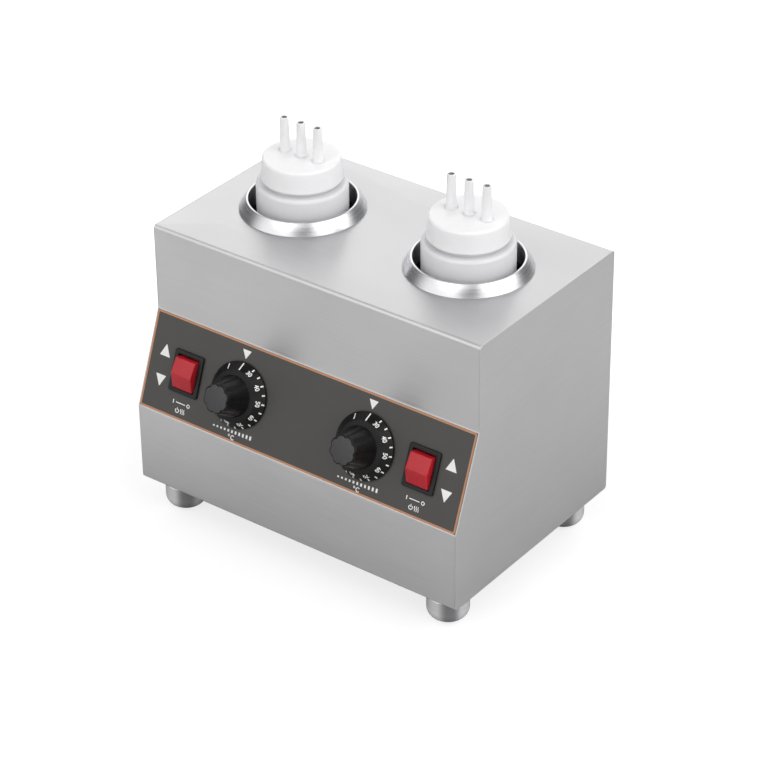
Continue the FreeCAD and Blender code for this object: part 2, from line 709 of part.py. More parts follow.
# Bottles and caps, made on the Z axis at their height in the well
def bottle():
    """The hollow squeeze bottle with its wide neck."""
    inside = BOTTLE_RADIUS - BOTTLE_WALL
    neck_inside = NECK_RADIUS - NECK_WALL
    floor = POT_FLOOR + BOTTLE_WALL
    outer_round = SHOULDER_ROUND_SHARE * SHOULDER_WIDTH
    inner_round = SHOULDER_INNER_SHARE * (inside - neck_inside)
    return revolved([(0, POT_FLOOR, 0), (BOTTLE_RADIUS, POT_FLOOR, BOTTLE_BASE_ROUND),
                     (BOTTLE_RADIUS, SHOULDER, outer_round),
                     (NECK_RADIUS, SHOULDER, NECK_ROOT_SHARE * SHOULDER_WIDTH), (NECK_RADIUS, NECK_TOP, 0),
                     (neck_inside, NECK_TOP, 0), (neck_inside, SHOULDER - BOTTLE_WALL, 0),
                     (inside, SHOULDER - BOTTLE_WALL, inner_round),
                     (inside, floor, BOTTLE_BASE_ROUND - BOTTLE_WALL), (0, floor, 0)])


def nozzle():
    """One tapered spout with a flared root, standing on the cap top."""
    return revolved([(0, CAP_CEILING, 0), (NOZZLE_BASE_RADIUS, CAP_CEILING, 0),
                     (NOZZLE_BASE_RADIUS + NOZZLE_FLARE, CAP_TOP, 0),
                     (NOZZLE_BASE_RADIUS, CAP_TOP + NOZZLE_FLARE, NOZZLE_FLARE),
                     (NOZZLE_TIP_RADIUS, NOZZLE_TIP, NOZZLE_TIP_ROUND), (0, NOZZLE_TIP, 0)])


def bottle_cap():
    """The screw cap with a row of open nozzles."""
    ceiling_radius = CAP_TOP_RADIUS + CAP_TAPER * CAP_TOP_THICKNESS / CAP_HEIGHT - CAP_WALL
    shell = revolved([(CAP_BASE_RADIUS - CAP_WALL, CAP_BASE, 0), (CAP_BASE_RADIUS, CAP_BASE, 0),
                      (CAP_TOP_RADIUS, CAP_TOP, CAP_EDGE_ROUND), (0, CAP_TOP, 0),
                      (0, CAP_CEILING, 0), (ceiling_radius, CAP_CEILING, 0)])
    first = -(NOZZLE_COUNT - 1) * NOZZLE_PITCH / 2
    places = [first + i * NOZZLE_PITCH for i in range(NOZZLE_COUNT)]
    solid = united([shell] + [moved(nozzle(), x) for x in places])
    bores = [cylinder(NOZZLE_BORE_RADIUS, CAP_CEILING - OVERRUN, NOZZLE_TIP + OVERRUN, x)
             for x in places]
    return solid.cut(bores)


def cap_liner():
    """The flat seal between the neck's rim and the cap."""
    outer = NECK_RADIUS
    seal = cylinder(outer, NECK_TOP, CAP_CEILING)
    return seal.cut(cylinder(outer - LINER_WIDTH, NECK_TOP - OVERRUN, CAP_CEILING + OVERRUN))


# Controls, made on the Z axis with the panel's steel face at zero
def d_shaft(grow, low, high):
    """A round bar with one flat, grown all round by a clearance."""
    radius = SHAFT_RADIUS + grow
    flat = SHAFT_RADIUS - SHAFT_FLAT + grow
    cut = block((-radius, radius), (flat, radius + OVERRUN), (low, high))
    return cylinder(radius, low, high).cut(cut)


def knob():
    """The dial knob: a conical skirt, a fluted tapering grip and a keyed boss."""
    low = OVERLAY_THICKNESS + KNOB_GAP
    edge = low + KNOB_SKIRT_EDGE
    cone_top = OVERLAY_THICKNESS + KNOB_CONE_HEIGHT
    root = cone_top + KNOB_ROOT_RISE
    boss_low = BUSHING_PROUD + KNOB_GAP
    ceiling = cone_top - KNOB_WALL
    body = revolved([(0, boss_low, 0), (KNOB_BOSS_RADIUS, boss_low, 0),
                     (KNOB_BOSS_RADIUS, ceiling, 0), (KNOB_CONE_RADIUS - KNOB_WALL, ceiling, 0),
                     (KNOB_SKIRT_RADIUS - KNOB_WALL, low, 0), (KNOB_SKIRT_RADIUS, low, 0),
                     (KNOB_SKIRT_RADIUS, edge, KNOB_SKIRT_EDGE / 2),
                     (KNOB_CONE_RADIUS, cone_top, KNOB_FACE_ROUND),
                     (KNOB_ROOT_RADIUS, root, KNOB_ROOT_RISE / 2),
                     (KNOB_FACE_RADIUS, KNOB_FACE, KNOB_FACE_ROUND), (0, KNOB_FACE, 0)])
    cuts = [d_shaft(RUNNING_GAP, boss_low - OVERRUN, OVERLAY_THICKNESS + SHAFT_IN_KNOB + SEAT_GAP)]
    return body.cut(cuts + knob_flutes(root))


def knob_flutes(root):
    """Round flutes up the grip, each leaning in with the grip's taper."""
    reach = KNOB_ROOT_RADIUS - KNOB_FLUTE_DEPTH + KNOB_FLUTE_RADIUS
    taper = math.degrees(math.atan2(KNOB_ROOT_RADIUS - KNOB_FACE_RADIUS, KNOB_FACE - root))
    flute = cylinder(KNOB_FLUTE_RADIUS, root - KNOB_FLUTE_RADIUS, KNOB_FACE + OVERRUN, reach)
    flute.rotate(vec(reach, 0, root), vec(0, 1, 0), -taper)
    flute = flute.common(cylinder(KNOB_SKIRT_RADIUS, root, KNOB_FACE + OVERRUN))
    flutes = []
    for i in range(KNOB_FLUTES):
        turned = flute.copy()
        turned.rotate(vec(0, 0, 0), vec(0, 0, 1), i * 360 / KNOB_FLUTES)
        flutes.append(turned)
    return flutes


def thermostat_shaft():
    """The shaft that carries the knob and turns in the thermostat."""
    return d_shaft(0, -SHEET - SHAFT_IN_THERMOSTAT, OVERLAY_THICKNESS + SHAFT_IN_KNOB)


def thermostat():
    """The control behind the panel: a plate, a case, a bushing and terminal blades."""
    plate_back = -SHEET - THERMOSTAT_PLATE_THICKNESS
    case_back = plate_back - THERMOSTAT_DEPTH
    plate = slab(THERMOSTAT_PLATE_WIDTH, THERMOSTAT_PLATE_HEIGHT, plate_back, -SHEET,
                 THERMOSTAT_CORNER)
    case = slab(THERMOSTAT_CASE, THERMOSTAT_CASE, case_back, plate_back, THERMOSTAT_CORNER)
    bushing = cylinder(BUSHING_RADIUS, plate_back, BUSHING_PROUD)
    pieces = [plate, case, bushing]
    for side in (-1, 1):
        pieces.append(blade(side * BLADE_SPACING / 2, case_back))
    bore = cylinder(SHAFT_RADIUS + RUNNING_GAP, -SHEET - SHAFT_IN_THERMOSTAT - SEAT_GAP,
                    BUSHING_PROUD + OVERRUN)
    cuts = [bore]
    for side in (-1, 1):
        x = side * THERMOSTAT_SCREW_SPACING / 2
        cuts.append(cylinder(THERMOSTAT_SCREW_RADIUS + RUNNING_GAP,
                             plate_back - THERMOSTAT_SCREW_RADIUS, 0, x))
    return united(pieces).cut(cuts)


def blade(x, top):
    """One flat terminal blade hanging behind a control."""
    return block((x - BLADE_WIDTH / 2, x + BLADE_WIDTH / 2),
                 (-BLADE_THICKNESS / 2, BLADE_THICKNESS / 2), (top - BLADE_LENGTH, top))


def thermostat_screws():
    """Two screws through the panel into each thermostat's plate."""
    length = SHEET + THERMOSTAT_PLATE_THICKNESS
    one = screw(THERMOSTAT_SCREW_RADIUS, THERMOSTAT_HEAD_RADIUS, THERMOSTAT_HEAD, length, 0)
    return group([on_panel(one, x) for x in thermostat_screw_places()])


def switch_body():
    """The black frame and the tub that the rocker pivots in."""
    bezel = slab(BEZEL_WIDTH, BEZEL_HEIGHT, OVERLAY_THICKNESS, BEZEL_FACE, BEZEL_CORNER)
    rim = [edge for edge in bezel.Edges if edge.BoundBox.ZMin > BEZEL_FACE - RUNNING_GAP]
    bezel = bezel.makeFillet(BEZEL_PROUD / 3, rim)
    tub = centred_block(TUB_WIDTH, TUB_HEIGHT, -SWITCH_BACK, BEZEL_FACE - BEZEL_PROUD / 2)
    hollow = centred_block(TUB_INSIDE_WIDTH, TUB_INSIDE_HEIGHT, TUB_FLOOR - SWITCH_BACK,
                           BEZEL_FACE + OVERRUN)
    pivot = Part.makeCylinder(ROCKER_PIVOT_RADIUS + RUNNING_GAP, TUB_WIDTH + 2 * OVERRUN,
                              vec(-TUB_WIDTH / 2 - OVERRUN, 0, -ROCKER_PIVOT_DEPTH), vec(1, 0, 0))
    return united([bezel, tub]).cut([hollow, pivot])


def rocker():
    """The roof-shaped rocker with its pivot stubs, at rest with its lower end in."""
    half = ROCKER_LENGTH / 2
    end = OVERLAY_THICKNESS + ROCKER_END_HEIGHT
    ridge = OVERLAY_THICKNESS + ROCKER_RIDGE_HEIGHT
    left = -ROCKER_WIDTH / 2
    outline = [vec(left, -half, -ROCKER_ROOT), vec(left, half, -ROCKER_ROOT), vec(left, half, end),
               vec(left, 0, ridge), vec(left, -half, end)]
    radii = [0.0, 0.0, ROCKER_EDGE_ROUND, ROCKER_RIDGE_ROUND, ROCKER_EDGE_ROUND]
    body = Part.Face(rounded_wire(outline, radii)).extrude(vec(ROCKER_WIDTH, 0, 0))
    roof = [edge for edge in body.Edges
            if edge.BoundBox.ZMin > end - ROCKER_EDGE_ROUND * 2 and edge.BoundBox.XLength < RUNNING_GAP]
    body = body.makeFillet(ROCKER_EDGE_ROUND, roof)
    stub_length = ROCKER_WIDTH + 2 * ROCKER_STUB
    stubs = Part.makeCylinder(ROCKER_PIVOT_RADIUS, stub_length,
                              vec(-stub_length / 2, 0, -ROCKER_PIVOT_DEPTH), vec(1, 0, 0))
    whole = united([body, stubs])
    whole.rotate(vec(0, 0, -ROCKER_PIVOT_DEPTH), vec(1, 0, 0), ROCKER_TILT)
    return whole


def switch_terminals():
    """Two terminal blades behind each switch."""
    return group([on_panel(blade(end * BLADE_SPACING / 2, -SWITCH_BACK), side * SWITCH_X)
                  for side in (-1, 1) for end in (-1, 1)])


# Cable gland, made on the Z axis with the casing's back face at zero
def gland_body():
    """The flanged body: a spigot in through the casing and one out into the nut."""
    outer_end = GLAND_HEX_THICKNESS + GLAND_OUTER_LENGTH
    inner_end = -SHEET - GLAND_INNER_LENGTH
    spigot = GLAND_SPIGOT_RADIUS - SHEET
    solid = united([hexagon(GLAND_HEX, 0, GLAND_HEX_THICKNESS),
                    cylinder(GLAND_SPIGOT_RADIUS, inner_end, 0),
                    cylinder(spigot, GLAND_HEX_THICKNESS, outer_end)])
    return solid.cut(cylinder(GLAND_SEAL_RADIUS + SEAT_GAP, inner_end - OVERRUN, outer_end + OVERRUN))


def gland_seal():
    """The rubber sleeve that grips a round cord."""
    outer_end = GLAND_HEX_THICKNESS + GLAND_OUTER_LENGTH
    seal = cylinder(GLAND_SEAL_RADIUS, -SHEET, outer_end)
    return seal.cut(cylinder(GLAND_BORE_RADIUS, -SHEET - OVERRUN, outer_end + OVERRUN))


def gland_nut():
    """The domed nut that squeezes the seal."""
    low = GLAND_HEX_THICKNESS
    shoulder = low + GLAND_OUTER_LENGTH
    high = shoulder + GLAND_NUT_END
    thread = GLAND_SPIGOT_RADIUS - SHEET + SEAT_GAP
    dome = revolved([(thread, low, 0), (GLAND_NUT_RADIUS, low, 0),
                     (GLAND_NUT_RADIUS, high, GLAND_NUT_ROUND), (GLAND_NUT_BORE_RADIUS, high, 0),
                     (GLAND_NUT_BORE_RADIUS, shoulder, 0), (thread, shoulder, 0)])
    return dome.common(hexagon(GLAND_NUT_HEX, low, high))


def gland_parts():
    """Every node of the cable gland, in the casing's back."""
    locknut = nut(GLAND_HEX, GLAND_SPIGOT_RADIUS + RUNNING_GAP, -SHEET - LOCKNUT_THICKNESS, -SHEET)
    made = {"gland_body": gland_body(), "gland_seal": gland_seal(), "gland_nut": gland_nut(),
            "gland_locknut": locknut}
    return {name: on_back(shape, 0, GLAND_Z) for name, shape in made.items()}


# Terminal block, earth stud and leads
def pole_places():
    """How far across each pole of the terminal block is."""
    first = -(BLOCK_POLES - 1) * BLOCK_PITCH / 2
    return [first + i * BLOCK_PITCH for i in range(BLOCK_POLES)]


def terminal_block():
    """The block on the base plate, with a wire way and a screw well at each pole."""
    high = BOTTOM + BLOCK_HEIGHT
    depth = (BLOCK_Y - BLOCK_DEPTH / 2, BLOCK_Y + BLOCK_DEPTH / 2)
    body = block((-BLOCK_WIDTH / 2, BLOCK_WIDTH / 2), depth, (BOTTOM, high))
    reach = BLOCK_WIDTH / 2 + BLOCK_EAR
    ears = block((-reach, reach), depth, (BOTTOM, BOTTOM + BLOCK_EAR_HEIGHT))
    cuts = []
    for x in pole_places():
        cuts.append(Part.makeCylinder(BLOCK_WIRE_RADIUS, BLOCK_DEPTH + 2 * OVERRUN,
                                      vec(x, depth[0] - OVERRUN, BOTTOM + BLOCK_WIRE_HEIGHT),
                                      vec(0, 1, 0)))
        cuts.append(cylinder(BLOCK_SCREW_RADIUS + SCREW_GAP, BOTTOM + BLOCK_WIRE_HEIGHT,
                             high + OVERRUN, x, BLOCK_Y))
    for x, y in block_mount_places():
        cuts.append(cylinder(BLOCK_MOUNT_RADIUS + SCREW_GAP, BOTTOM - OVERRUN, high, x, y))
    return united([body, ears]).cut(cuts)


def terminal_clamp_screws():
    """The grub screw over the wire at each pole."""
    low = BOTTOM + BLOCK_WIRE_HEIGHT + BLOCK_WIRE_RADIUS
    return group([cylinder(BLOCK_SCREW_RADIUS, low, low + BLOCK_SCREW_LENGTH, x, BLOCK_Y)
                  for x in pole_places()])


def terminal_mount_screws():
    """The two screws that hold the terminal block down."""
    seat = BOTTOM + BLOCK_EAR_HEIGHT
    one = screw(BLOCK_MOUNT_RADIUS, BLOCK_MOUNT_HEAD_RADIUS, BLOCK_MOUNT_HEAD,
                BLOCK_EAR_HEIGHT + 2 * SHEET, seat)
    return group([moved(one, x, y) for x, y in block_mount_places()])


def earth_stud():
    """A stud through the base plate with one nut under the lead and one over it."""
    lead_seat = BOTTOM + EARTH_NUT_HEIGHT
    lead_top = lead_seat + 2 * LEAD_RADIUS
    stud = united([cylinder(EARTH_STUD_RADIUS, BOTTOM - SHEET, BOTTOM + EARTH_STUD_LENGTH),
                   cylinder(EARTH_NUT_WIDTH / 2, BOTTOM - 2 * SHEET, BOTTOM - SHEET)])
    bore = EARTH_STUD_RADIUS + RUNNING_GAP
    lower = nut(EARTH_NUT_WIDTH, bore, BOTTOM, lead_seat)
    upper = nut(EARTH_NUT_WIDTH, bore, lead_top, lead_top + EARTH_NUT_HEIGHT)
    return moved(group([stud, lower, upper]), 0, BACK - EARTH_STUD_FROM_BACK)


def blade_end(x, depth):
    """The tip of a terminal blade, and a point one stub further in."""
    tip = panel_point(x, CONTROLS_UP_PANEL, -depth)
    return tip, panel_point(x, CONTROLS_UP_PANEL, -depth - LEAD_STUB)


def side_leads(side):
    """Block to switch, switch to thermostat, thermostat to heater, heater to block."""
    wire_z = BOTTOM + BLOCK_WIRE_HEIGHT
    block_front = BLOCK_Y - BLOCK_DEPTH / 2
    start_y = block_front + LEAD_IN_BLOCK
    switch_depth = SWITCH_BACK + BLADE_LENGTH
    thermostat_depth = SHEET + THERMOSTAT_PLATE_THICKNESS + THERMOSTAT_DEPTH + BLADE_LENGTH
    half_pair = side * BLADE_SPACING / 2
    live_tip, live_in = blade_end(side * SWITCH_X + half_pair, switch_depth)
    out_tip, out_in = blade_end(side * SWITCH_X - half_pair, switch_depth)
    feed_tip, feed_in = blade_end(side * DIAL_X + half_pair, thermostat_depth)
    load_tip, load_in = blade_end(side * DIAL_X - half_pair, thermostat_depth)
    live_x = side * 2 * BLOCK_PITCH
    neutral_x = side * BLOCK_PITCH
    box_x = side * (WELL_X - HEATER_RADIUS - HEATER_THICKNESS - HEATER_BOX_WIDTH / 2)
    box_front = WELL_Y - HEATER_BOX_LENGTH / 4
    box_back = WELL_Y + HEATER_BOX_LENGTH / 4
    runs = [
        [vec(live_x, start_y, wire_z), vec(live_x, block_front - LEAD_MID, wire_z),
         vec(live_tip.x, live_in.y, BOTTOM + LEAD_LOW), live_in, live_tip],
        [out_tip, out_in, feed_in, feed_tip],
        [load_tip, load_in, vec(box_x, box_front, load_in.z), vec(box_x, box_front, HEATER_LOW)],
        [vec(box_x, box_back, HEATER_LOW), vec(box_x, box_back, BOTTOM + LEAD_MID),
         vec(neutral_x, block_front - 2 * LEAD_STUB, wire_z), vec(neutral_x, start_y, wire_z)],
    ]
    return group([tube_along(run, LEAD_RADIUS, LEAD_BEND) for run in runs])


def earth_lead():
    """From the middle pole up over the block to a ring tag on the stud."""
    wire_z = BOTTOM + BLOCK_WIRE_HEIGHT
    tag_low = BOTTOM + EARTH_NUT_HEIGHT
    tag_z = tag_low + LEAD_RADIUS
    over_z = BOTTOM + EARTH_LEAD_HEIGHT
    front = BLOCK_Y - BLOCK_DEPTH / 2
    behind = BLOCK_Y + BLOCK_DEPTH / 2 + 2 * EARTH_LEAD_BEND
    stud_y = BACK - EARTH_STUD_FROM_BACK
    tag_edge = stud_y - EARTH_STUD_RADIUS - LEAD_RADIUS
    path = [vec(0, front + LEAD_IN_BLOCK, wire_z), vec(0, front - LEAD_STUB, wire_z),
            vec(0, front - LEAD_STUB, over_z), vec(0, behind, over_z), vec(0, behind, tag_z),
            vec(0, tag_edge, tag_z)]
    tag = cylinder(EARTH_TAG_RADIUS, tag_low, tag_low + 2 * LEAD_RADIUS, 0, stud_y)
    bore = cylinder(EARTH_STUD_RADIUS + RUNNING_GAP, tag_low - OVERRUN, tag_low + OVERRUN, 0, stud_y)
    return united([tube_along(path, LEAD_RADIUS, EARTH_LEAD_BEND), tag]).cut(bore)


def thermostat_probe(side):
    """The sensing bulb on the pot and its thin tube back to the thermostat."""
    x = side * WELL_X
    high = PROBE_LOW + PROBE_LENGTH
    bulb = revolved([(0, PROBE_LOW, 0), (PROBE_RADIUS, PROBE_LOW, PROBE_RADIUS / 2),
                     (PROBE_RADIUS, high, PROBE_RADIUS / 2), (0, high, 0)])
    depth = SHEET + THERMOSTAT_PLATE_THICKNESS + THERMOSTAT_DEPTH
    up = CONTROLS_UP_PANEL - THERMOSTAT_CASE / 4
    entry = panel_point(side * DIAL_X, up, -depth)
    entry_in = panel_point(side * DIAL_X, up, -depth - LEAD_STUB)
    low = PROBE_LOW - 2 * CAPILLARY_BEND
    path = [vec(x, PROBE_Y, PROBE_LOW), vec(x, PROBE_Y, low), vec(entry_in.x, entry_in.y, low),
            entry_in, entry]
    return united([moved(bulb, x, PROBE_Y), tube_along(path, CAPILLARY_RADIUS, CAPILLARY_BEND)])


def probe_clips():
    """Two saddles on the front of each pot."""
    clips = []
    for side in (-1, 1):
        for share in CLIP_SHARES:
            z = PROBE_LOW + share * PROBE_LENGTH - CLIP_HEIGHT / 2
            clips.append(moved(probe_clip(), side * WELL_X, PROBE_Y, z))
    return group(clips)


def well_parts(side, name):
    """Every node of one well and its bottle, moved from the Z axis to its place."""
    band = heater_band() if side > 0 else mirrored(heater_band())
    made = {"well_collar": well_collar(), "well_pot": well_pot(), "heater_band": band,
            "bottle": bottle(), "bottle_cap": bottle_cap(), "cap_liner": cap_liner()}
    return {node + "_" + name: moved(shape, side * WELL_X, WELL_Y) for node, shape in made.items()}


def control_parts(side, name):
    """Every node of one dial and one switch."""
    nodes = {
        "knob_" + name: on_panel(knob(), side * DIAL_X),
        "thermostat_shaft_" + name: on_panel(thermostat_shaft(), side * DIAL_X),
        "thermostat_" + name: on_panel(thermostat(), side * DIAL_X),
        "thermostat_probe_" + name: thermostat_probe(side),
        "switch_body_" + name: on_panel(switch_body(), side * SWITCH_X),
        "rocker_" + name: on_panel(rocker(), side * SWITCH_X),
        "leads_" + name: side_leads(side),
    }
    return nodes


def all_parts():
    """Every node of the warmer by name."""
    nodes = {
        "side_plate_right": side_plate(),
        "side_plate_left": mirrored(side_plate()),
        "base_plate": base_plate(),
        "base_screws": base_screws(),
        "control_overlay": control_overlay(),
        "thermostat_screws": thermostat_screws(),
        "switch_terminals": switch_terminals(),
        "probe_clips": probe_clips(),
        "terminal_block": terminal_block(),
        "terminal_clamp_screws": terminal_clamp_screws(),
        "terminal_mount_screws": terminal_mount_screws(),
        "earth_stud": earth_stud(),
        "earth_lead": earth_lead(),
    }
    clamps = []
    for side, name in ((-1, "left"), (1, "right")):
        nodes.update(well_parts(side, name))
        nodes.update(control_parts(side, name))
        clamps += [moved(pair, side * WELL_X, WELL_Y) for pair in clamp_screws()]
    nodes["heater_clamp_screws"] = group(clamps)
    nodes.update(casing_sheets())
    nodes.update(feet_parts())
    nodes.update(gland_parts())
    return nodes


os.makedirs("parts", exist_ok=True)
for node_name, node_shape in all_parts().items():
    node_shape.exportStep(os.path.join("parts", node_name + ".step"))
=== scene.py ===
"""Looks of a two-well topping warmer: finishes, fine surfaces, printed marks, studio and camera.

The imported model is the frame. Each visible piece is worked out here in millimetres on the places
that the frame gives, and stands for the solid of the same piece. Hidden pieces keep their solids.
"""

import json
import logging
import math
from dataclasses import dataclass
from enum import Enum
from typing import Sequence

import bmesh
import bpy
import numpy as np
from mathutils import Matrix, Vector

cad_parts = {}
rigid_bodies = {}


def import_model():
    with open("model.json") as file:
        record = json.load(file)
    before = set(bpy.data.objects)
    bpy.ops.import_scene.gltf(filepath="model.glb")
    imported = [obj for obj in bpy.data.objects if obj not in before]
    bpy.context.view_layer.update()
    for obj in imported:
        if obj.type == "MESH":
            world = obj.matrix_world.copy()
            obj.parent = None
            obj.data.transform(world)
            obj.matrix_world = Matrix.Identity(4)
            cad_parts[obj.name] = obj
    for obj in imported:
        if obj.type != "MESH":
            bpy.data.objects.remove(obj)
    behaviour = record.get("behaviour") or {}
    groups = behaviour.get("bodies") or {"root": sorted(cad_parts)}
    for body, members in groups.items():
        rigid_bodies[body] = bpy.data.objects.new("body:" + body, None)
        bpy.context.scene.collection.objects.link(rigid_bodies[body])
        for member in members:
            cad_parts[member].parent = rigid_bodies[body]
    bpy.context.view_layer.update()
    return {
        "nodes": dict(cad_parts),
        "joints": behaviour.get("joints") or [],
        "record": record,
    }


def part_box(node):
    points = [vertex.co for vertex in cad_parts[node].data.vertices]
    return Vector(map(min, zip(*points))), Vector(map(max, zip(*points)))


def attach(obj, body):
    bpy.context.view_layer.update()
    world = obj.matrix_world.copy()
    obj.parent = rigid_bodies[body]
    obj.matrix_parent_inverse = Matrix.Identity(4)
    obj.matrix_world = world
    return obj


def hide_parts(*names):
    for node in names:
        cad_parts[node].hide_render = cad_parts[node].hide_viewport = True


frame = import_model()

LOG = logging.getLogger("topping_warmer")
MM = 0.001
AROUND = 144
SMOOTH_ANGLE = math.radians(32)
FLAT_ANGLE = math.radians(0.5)
BROKEN_ANGLE = math.radians(40)
PIECE_MERGE = 1e-7
NODE_MERGE = 1e-6
FIGURE_WEIGHT = 0.025
FIGURE_STEPS = 3
NOISE_SPAN = (0.3, 0.7)
QUARTER_TURN = 0.25
Profile = Sequence[tuple[float, float, float]]
Colour = tuple[float, float, float]
Span = tuple[float, float]
Surface = tuple[np.ndarray, np.ndarray]


class Side(Enum):
    """The two halves of the warmer, by the sign of their X."""

    LEFT = -1
    RIGHT = 1

    @property
    def label(self) -> str:
        """The end of the names of this side's nodes."""
        return self.name.lower()


class Grain(Enum):
    """The direction that a sheet was brushed in, as an axis number."""

    ACROSS = 0
    DEEP = 1


@dataclass(frozen=True)
class Site:
    """A place on the warmer: an origin and three square axes, in millimetres."""

    origin: np.ndarray
    across: np.ndarray
    up: np.ndarray
    out: np.ndarray

    def place(self, points: np.ndarray) -> np.ndarray:
        """Turn local points into the frame's own.

        Args:
            points: Rows of (across, up, out).

        Returns:
            Rows of (x, y, z).
        """
        return self.origin + points @ np.stack([self.across, self.up, self.out])


def well_site(side: Side) -> Site:
    """The middle of one well, on the flat top of the casing.

    Args:
        side: Which well.

    Returns:
        A level site at the foot of the collar's cone.
    """
    low, high = (np.array(corner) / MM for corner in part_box(f"well_collar_{side.label}"))
    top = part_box("top_sheet")[1].z / MM
    middle = (low + high) / 2
    return Site(np.array([middle[0], middle[1], top]), *np.eye(3))


def panel_site(joint: str, out: float = 0.0) -> Site:
    """The place on the sloping panel's steel face where a control turns.

    Args:
        joint: The name of the control's hinge.
        out: How far in front of the hinge's point the face is.

    Returns:
        A site with the panel's slope as its up axis.
    """
    hinge = next(row for row in frame["joints"] if row["name"] == joint)
    dial = next(row for row in frame["joints"] if row["name"] == "knob_left_turn")
    normal = np.array(dial["axis"], float)
    normal /= np.linalg.norm(normal)
    across = np.array([1.0, 0.0, 0.0])
    return Site(np.array(hinge["pos_m"]) / MM + out * normal, across, np.cross(normal, across), normal)


def rounded_profile(corners: Profile, closed: bool, steps: int = 7) -> np.ndarray:
    """Points along straight runs with a tangent arc at each rounded corner.

    An arc's points are centre + (sin((1 - t) w) a + sin(t w) b) / sin w, where a and b are the
    spokes to its two ends, w is the angle between them and t runs from 0 to 1.

    Args:
        corners: Rows of (first, second, rounding).
        closed: Whether the last corner joins the first.
        steps: How many runs an arc gets.

    Returns:
        An array of points, two columns.
    """
    spots = np.array([corner[:2] for corner in corners], float)
    runs: list[np.ndarray] = []
    for i, (first, second, rounding) in enumerate(corners):
        here = np.array([first, second], float)
        inside = closed or 0 < i < len(corners) - 1
        if rounding <= 0 or not inside:
            runs.append(here[None])
            continue
        back = spots[i - 1] - here
        ahead = spots[(i + 1) % len(spots)] - here
        back /= np.linalg.norm(back)
        ahead /= np.linalg.norm(ahead)
        half = math.acos(float(np.clip(back @ ahead, -1, 1))) / 2
        bisector = (back + ahead) / np.linalg.norm(back + ahead)
        centre = here + bisector * rounding / math.sin(half)
        reach = rounding / math.tan(half)
        spoke_in = here + back * reach - centre
        spoke_out = here + ahead * reach - centre
        turn = math.pi - 2 * half
        t = np.linspace(0, 1, steps + 1)[:, None]
        arc = (np.sin((1 - t) * turn) * spoke_in + np.sin(t * turn) * spoke_out) / math.sin(turn)
        runs.append(centre + arc)
    return np.concatenate(runs)


def grid_faces(rows: int, columns: int, rows_closed: bool) -> np.ndarray:
    """Quads of a grid whose columns close on themselves.

    Args:
        rows: How many rows of points.
        columns: How many points in a row.
        rows_closed: Whether the last row joins the first.

    Returns:
        An array of four corner numbers for each quad.
    """
    row = np.arange(rows if rows_closed else rows - 1)[:, None] * columns
    following = (row + columns) % (rows * columns)
    column = np.arange(columns)[None]
    beside = (column + 1) % columns
    return np.stack([row + column, row + beside, following + beside, following + column], 2).reshape(-1, 4)


def facing_out(points: np.ndarray, faces: np.ndarray) -> np.ndarray:
    """Turn a closed surface's faces outwards, by the sign of the sum of a . (b x c) over its fans."""
    a = points[faces[:, 0]]
    fans = [np.einsum("ij,ij->", a, np.cross(points[faces[:, i]], points[faces[:, i + 1]]))
            for i in range(1, faces.shape[1] - 1)]
    return faces if sum(fans) > 0 else faces[:, ::-1]


def join_surfaces(surfaces: Sequence[Surface]) -> Surface:
    """Several surfaces of points and faces as one."""
    counts = np.cumsum([0] + [len(points) for points, _ in surfaces])
    faces = [quads + start for (_, quads), start in zip(surfaces, counts)]
    return np.concatenate([points for points, _ in surfaces]), np.concatenate(faces)


def loft(rings: np.ndarray, closed: bool = False) -> Surface:
    """A surface through rings of points, one ring to a row.

    Args:
        rings: An array of rings, points and three coordinates.
        closed: Whether the last ring joins the first.

    Returns:
        Points and outward quads.
    """
    rows, columns, _ = rings.shape
    points = rings.reshape(-1, 3)
    return points, facing_out(points, grid_faces(rows, columns, closed))


def revolve(profile: np.ndarray, closed: bool = False, around: int = AROUND) -> Surface:
    """A profile of (radius r, height h) turned about the out axis: (r cos a, r sin a, h)."""
    angle = np.arange(around) * 2 * math.pi / around
    radius, height = profile[:, :1], profile[:, 1:]
    rings = np.stack([radius * np.cos(angle), radius * np.sin(angle), height + 0 * angle], 2)
    return loft(rings, closed)


def rounded_box(width: float, height: float, rounding: float, steps: int = 6) -> np.ndarray:
    """The outline of a rectangle with rounded corners, as rows of (across, up)."""
    half_width, half_height = width / 2, height / 2
    signs = ((-1, -1), (1, -1), (1, 1), (-1, 1))
    return rounded_profile([(x * half_width, y * half_height, rounding) for x, y in signs], True, steps)


def at_height(spots: np.ndarray, height: float) -> np.ndarray:
    """Points of (across, up) with one height added as their out."""
    return np.column_stack([spots, np.full(len(spots), height)])


def layers(outlines: Sequence[np.ndarray], heights: Sequence[float], closed: bool = False) -> Surface:
    """Outlines of (across, up) set at heights and joined in turn into one surface."""
    rings = [at_height(spots, height) for spots, height in zip(outlines, heights)]
    return loft(np.stack(rings), closed)


def plate(outline: np.ndarray, low: float, high: float) -> Surface:
    """A flat plate: from its middle out to its outline at one height, and back at another."""
    middle = outline * 0 + outline.mean(axis=0)
    return layers([middle, outline, outline, middle], [low, low, high, high])


